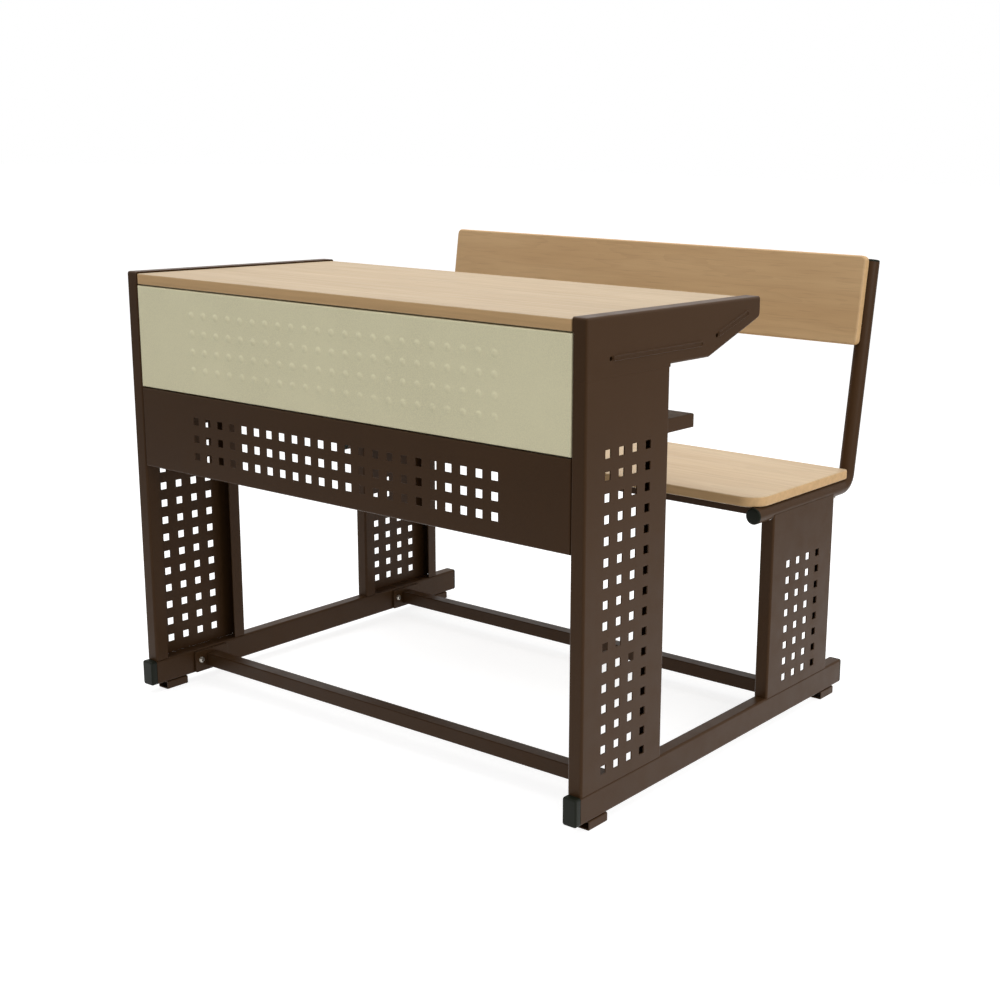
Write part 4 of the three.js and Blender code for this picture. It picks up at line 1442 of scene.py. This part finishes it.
class DESK_OT_backrest_board(DeskPieceOperator, bpy.types.Operator):
    """Backrest board, leaning back on the uprights"""

    bl_idname = "desk.backrest_board"
    bl_label = "Backrest Board"

    def execute(self, context):
        sizes = context.scene.desk_boards
        low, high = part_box("backrest_board")
        lean, thickness = sizes.lean, sizes.back_thickness
        half = (high.z - low.z - thickness * math.sin(lean)) / math.cos(lean) / 2
        outline = rounded_box(low.x, high.x, -half, half, sizes.back_corner, WIDE_STEPS)
        shape = board_shape(outline, sizes.back_edge, -thickness / 2, thickness / 2)
        turn = QUARTER_TURN - lean
        place = Matrix.Translation((low + high) / 2) @ Matrix.Rotation(turn, 4, "X")
        bmesh.ops.transform(shape, matrix=place, verts=shape.verts)
        finished_board("laminated_backrest", shape, "backrest_board", "backrest", thickness,
                       sizes.back_edge, seed=(3.1, 0.9, 0.2), turn=-turn)
        return {"FINISHED"}


# Bench frame


def tube_stations(context):
    """Middle line of the right seat tube: its points, each with the direction there."""
    lean, bend = context.scene.desk_boards.lean, context.scene.desk_steel.tube_bend
    plug_low, plug_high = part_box("tube_plug_front_right")
    radius = (plug_high.z - plug_low.z) / 2
    level = plug_low.z + radius
    upward = Vector((0, math.sin(lean), math.cos(lean)))
    top = Vector((TUBE_X, TUBE_HIGH.y - radius * upward.z, TUBE_HIGH.z - radius * upward.y))
    turn = QUARTER_TURN - lean
    bend_y = top.y - (top.z - level) * math.tan(lean) - bend * math.tan(turn / 2)
    stations = [(Vector((TUBE_X, TUBE_LOW.y, level)), Y_AXIS)]
    for k in range(TUBE_BEND_STEPS + 1):
        sine, cosine = math.sin(turn * k / TUBE_BEND_STEPS), math.cos(turn * k / TUBE_BEND_STEPS)
        place = Vector((TUBE_X, bend_y + bend * sine, level + bend * (1 - cosine)))
        stations.append((place, Vector((0, cosine, sine))))
    return [*stations, (top, upward)], radius


def ring_round(place, along, radius):
    """A circle of points round a place, across a direction in the YZ plane."""
    up = X_AXIS.cross(along)
    return [place + X_AXIS * a + up * b for a, b in circle(0.0, 0.0, radius, TUBE_SIDES)]


def tube_rings(context, extra):
    """Rings along the right seat tube's outer face, or so much further out."""
    stations, radius = tube_stations(context)
    return [ring_round(place, along, radius + extra) for place, along in stations]


class DESK_OT_seat_tubes(DeskPieceOperator, bpy.types.Operator):
    """Bent tubes that carry the seat and the backrest"""

    bl_idname = "desk.seat_tubes"
    bl_label = "Seat Tubes"

    def execute(self, context):
        sizes = context.scene.desk_steel
        outer, inner = tube_rings(context, 0.0), tube_rings(context, -sizes.tube_wall)
        shape = loft(outer + inner[::-1], loop=True)
        finished_pair("bent_seat_tube", shape, "seat_tube", edge=sizes.edge / 2)
        return {"FINISHED"}


class DESK_OT_tube_plugs(DeskPieceOperator, bpy.types.Operator):
    """Moulded plugs in both ends of the seat tubes"""

    bl_idname = "desk.tube_plugs"
    bl_label = "Tube Plugs"

    def execute(self, context):
        steel, sizes = context.scene.desk_steel, context.scene.desk_moulded
        stations, radius = tube_stations(context)
        inside = radius - steel.tube_wall - steel.gap
        spigot = sizes.plug_spigot
        rings = [(inside * PLUG_TIP, spigot), (inside, spigot - sizes.plug_taper), (inside, 0.0)]
        width, height = PLUG_SHOULDER
        shoulder = [
            (1.0 - width * (1 - math.cos(angle)), PLUG_BAND[-1][1] + height * math.sin(angle))
            for angle in quarter()[1:]
        ]
        rings += [(radius * share, -sizes.plug_head * rise)
                  for share, rise in (*PLUG_BAND, *shoulder, *PLUG_CROWN)]
        for end, (place, along), turn in (("front", stations[0], 1), ("top", stations[-1], -1)):
            inward = along * turn
            base = place - inward * steel.gap
            shape = loft([ring_round(base + inward * depth, inward, size) for size, depth in rings])
            finished_pair(f"{end}_tube_plug", shape, f"tube_plug_{end}", slot="cap_plastic",
                          sharp=SHARP_ROUNDED)
        return {"FINISHED"}


class DESK_OT_seat_rails(DeskPieceOperator, bpy.types.Operator):
    """Square cross tubes under the seat"""

    bl_idname = "desk.seat_rails"
    bl_label = "Seat Rails"

    def execute(self, context):
        cross_tubes(context, "seat_cross_tube", "seat_rail")
        return {"FINISHED"}


class DESK_OT_wood_screws(DeskPieceOperator, bpy.types.Operator):
    """Screws that hold the top, the seat and the backrest"""

    bl_idname = "desk.wood_screws"
    bl_label = "Wood Screws"

    def execute(self, context):
        sizes, lean = context.scene.desk_fasteners, context.scene.desk_boards.lean
        forward = Vector((0, -math.cos(lean), math.sin(lean)))
        rows = {
            "top_screw_front": Z_AXIS, "top_screw_rear": Z_AXIS, "seat_screw_1": Z_AXIS,
            "seat_screw_2": Z_AXIS, "backrest_screw_1": forward, "backrest_screw_2": forward,
        }
        places = [(f"{row}_{side}", axis) for row, axis in rows.items() for side in SIDES]
        fasteners("board_screws", places, SCREW_SIDES,
                  sizes.screw_head, sizes.screw_head_height, sizes.screw_shank)
        return {"FINISHED"}


# Stage


def studio_material(name, settings):
    """A pale floor that shows white to the camera but keeps its shadows. Reflections see painted
    light on it:
    a glow, bright near the desk and dimmer far off, that stands in for a lit floor around the desk."""
    material, build, shader = new_material(name)
    seen, mirrored = build.rays()
    away = build.wire("ShaderNodeVectorMath", {0: build.own_space()}, "Value", operation="LENGTH")
    glows = (settings.near_glow, settings.far_glow)
    glow = build.ramp(away, (settings.near, settings.far), to=glows)
    build.fill(shader, {
        "Base Color": shaded(settings.floor),
        "Roughness": settings.floor_roughness,
        "Emission Color": WHITE,
        "Emission Strength": seen * settings.seen_glow + mirrored * glow,
    })
    return material


def studio_world(name, settings):
    """Even light from all round, with a white backdrop for the camera and for reflections."""
    world = bpy.data.worlds.new(name)
    world.use_nodes = True
    world.node_tree.nodes.clear()
    build = NodeBuilder(world.node_tree)
    camera, mirrored = build.rays()
    ambient, backdrop = [
        build.wire("ShaderNodeBackground", {"Color": WHITE, "Strength": strength})
        for strength in (settings.ambient, settings.backdrop)
    ]
    seen = camera.math("MAXIMUM", mirrored)
    blend = build.wire("ShaderNodeMixShader", {0: seen, 1: ambient, 2: backdrop})
    build.add("ShaderNodeOutputWorld", {"Surface": blend})
    return world


class DESK_OT_stage(DeskPieceOperator, bpy.types.Operator):
    """Floor, soft studio light and the camera"""

    bl_idname = "desk.stage"
    bl_label = "Stage"

    def execute(self, context):
        scene, settings = context.scene, context.scene.desk_stage
        shape = flat_square(-FLOOR_REACH, FLOOR_REACH, -FLOOR_REACH, FLOOR_REACH)
        floor = object_of("studio_floor", shape, studio_material("studio_floor", settings))
        scene.world = studio_world("studio", settings)

        for name, (size, place, target) in LAMPS.items():
            light = bpy.data.lights.new(f"{name}_lamp", "AREA")
            light.energy = getattr(settings, f"{name}_light")
            light.shape = "RECTANGLE"
            light.size, light.size_y = size
            lamp = bpy.data.objects.new(f"{name}_lamp", light)
            lamp.location = place
            way = Vector(target) - Vector(place)
            lamp.rotation_euler = way.to_track_quat("-Z", "Y").to_euler()
            scene.collection.objects.link(lamp)

        lens = bpy.data.cameras.new("photo_camera")
        lens.sensor_fit = "HORIZONTAL"
        lens.lens = settings.focal_share * lens.sensor_width
        lens.shift_x = 0.5 - settings.middle_x
        lens.shift_y = settings.middle_y - 0.5
        lens.clip_end = CAMERA_REACH
        camera = bpy.data.objects.new("photo_camera", lens)
        camera.matrix_world = (
            Matrix.Translation(Vector(settings.target) + Y_AXIS * FRONT_Y)
            @ Matrix.Rotation(settings.azimuth, 4, "Z")
            @ Matrix.Rotation(QUARTER_TURN - settings.elevation, 4, "X")
            @ Matrix.Rotation(settings.roll, 4, "Z")
            @ Matrix.Translation(Z_AXIS * settings.distance)
        )
        scene.collection.objects.link(camera)
        scene.camera = camera
        scene.view_settings.view_transform = "Standard"
        return {"FINISHED"}


OPERATORS = (
    DESK_OT_floor_rails, DESK_OT_rail_caps, DESK_OT_feet, DESK_OT_cross_ties, DESK_OT_tie_plates,
    DESK_OT_tie_bolts, DESK_OT_pillars, DESK_OT_side_wings, DESK_OT_front_panel,
    DESK_OT_modesty_panel, DESK_OT_book_shelf, DESK_OT_top_bearers, DESK_OT_desk_top,
    DESK_OT_seat_tubes, DESK_OT_tube_plugs, DESK_OT_seat_rails, DESK_OT_seat_board,
    DESK_OT_backrest_board, DESK_OT_wood_screws, DESK_OT_stage,
)
SETTINGS = {
    "desk_steel": DeskSteelSizes,
    "desk_wings": DeskWingSizes,
    "desk_panels": DeskPanelSizes,
    "desk_boards": DeskBoardSizes,
    "desk_moulded": DeskMouldedSizes,
    "desk_fasteners": DeskFastenerSizes,
    "desk_finishes": DeskFinishes,
    "desk_stage": DeskStageSettings,
}


class DESK_PT_pieces(bpy.types.Panel):
    """Lists the desk's pieces"""

    bl_idname = "DESK_PT_pieces"
    bl_label = "School Desk"
    bl_space_type = "VIEW_3D"
    bl_region_type = "UI"
    bl_category = "School Desk"

    def draw(self, context):
        for operator in OPERATORS:
            self.layout.operator(operator.bl_idname)


def register():
    for name, group in SETTINGS.items():
        bpy.utils.register_class(group)
        setattr(bpy.types.Scene, name, PointerProperty(type=group))
    for operator in OPERATORS:
        bpy.utils.register_class(operator)
    bpy.utils.register_class(DESK_PT_pieces)


def unregister():
    bpy.utils.unregister_class(DESK_PT_pieces)
    for operator in reversed(OPERATORS):
        bpy.utils.unregister_class(operator)
    for name, group in SETTINGS.items():
        delattr(bpy.types.Scene, name)
        bpy.utils.unregister_class(group)


def main():
    register()
    for operator in OPERATORS:
        group, action = operator.bl_idname.split(".")
        getattr(getattr(bpy.ops, group), action)()


if __name__ == "__main__":
    main()
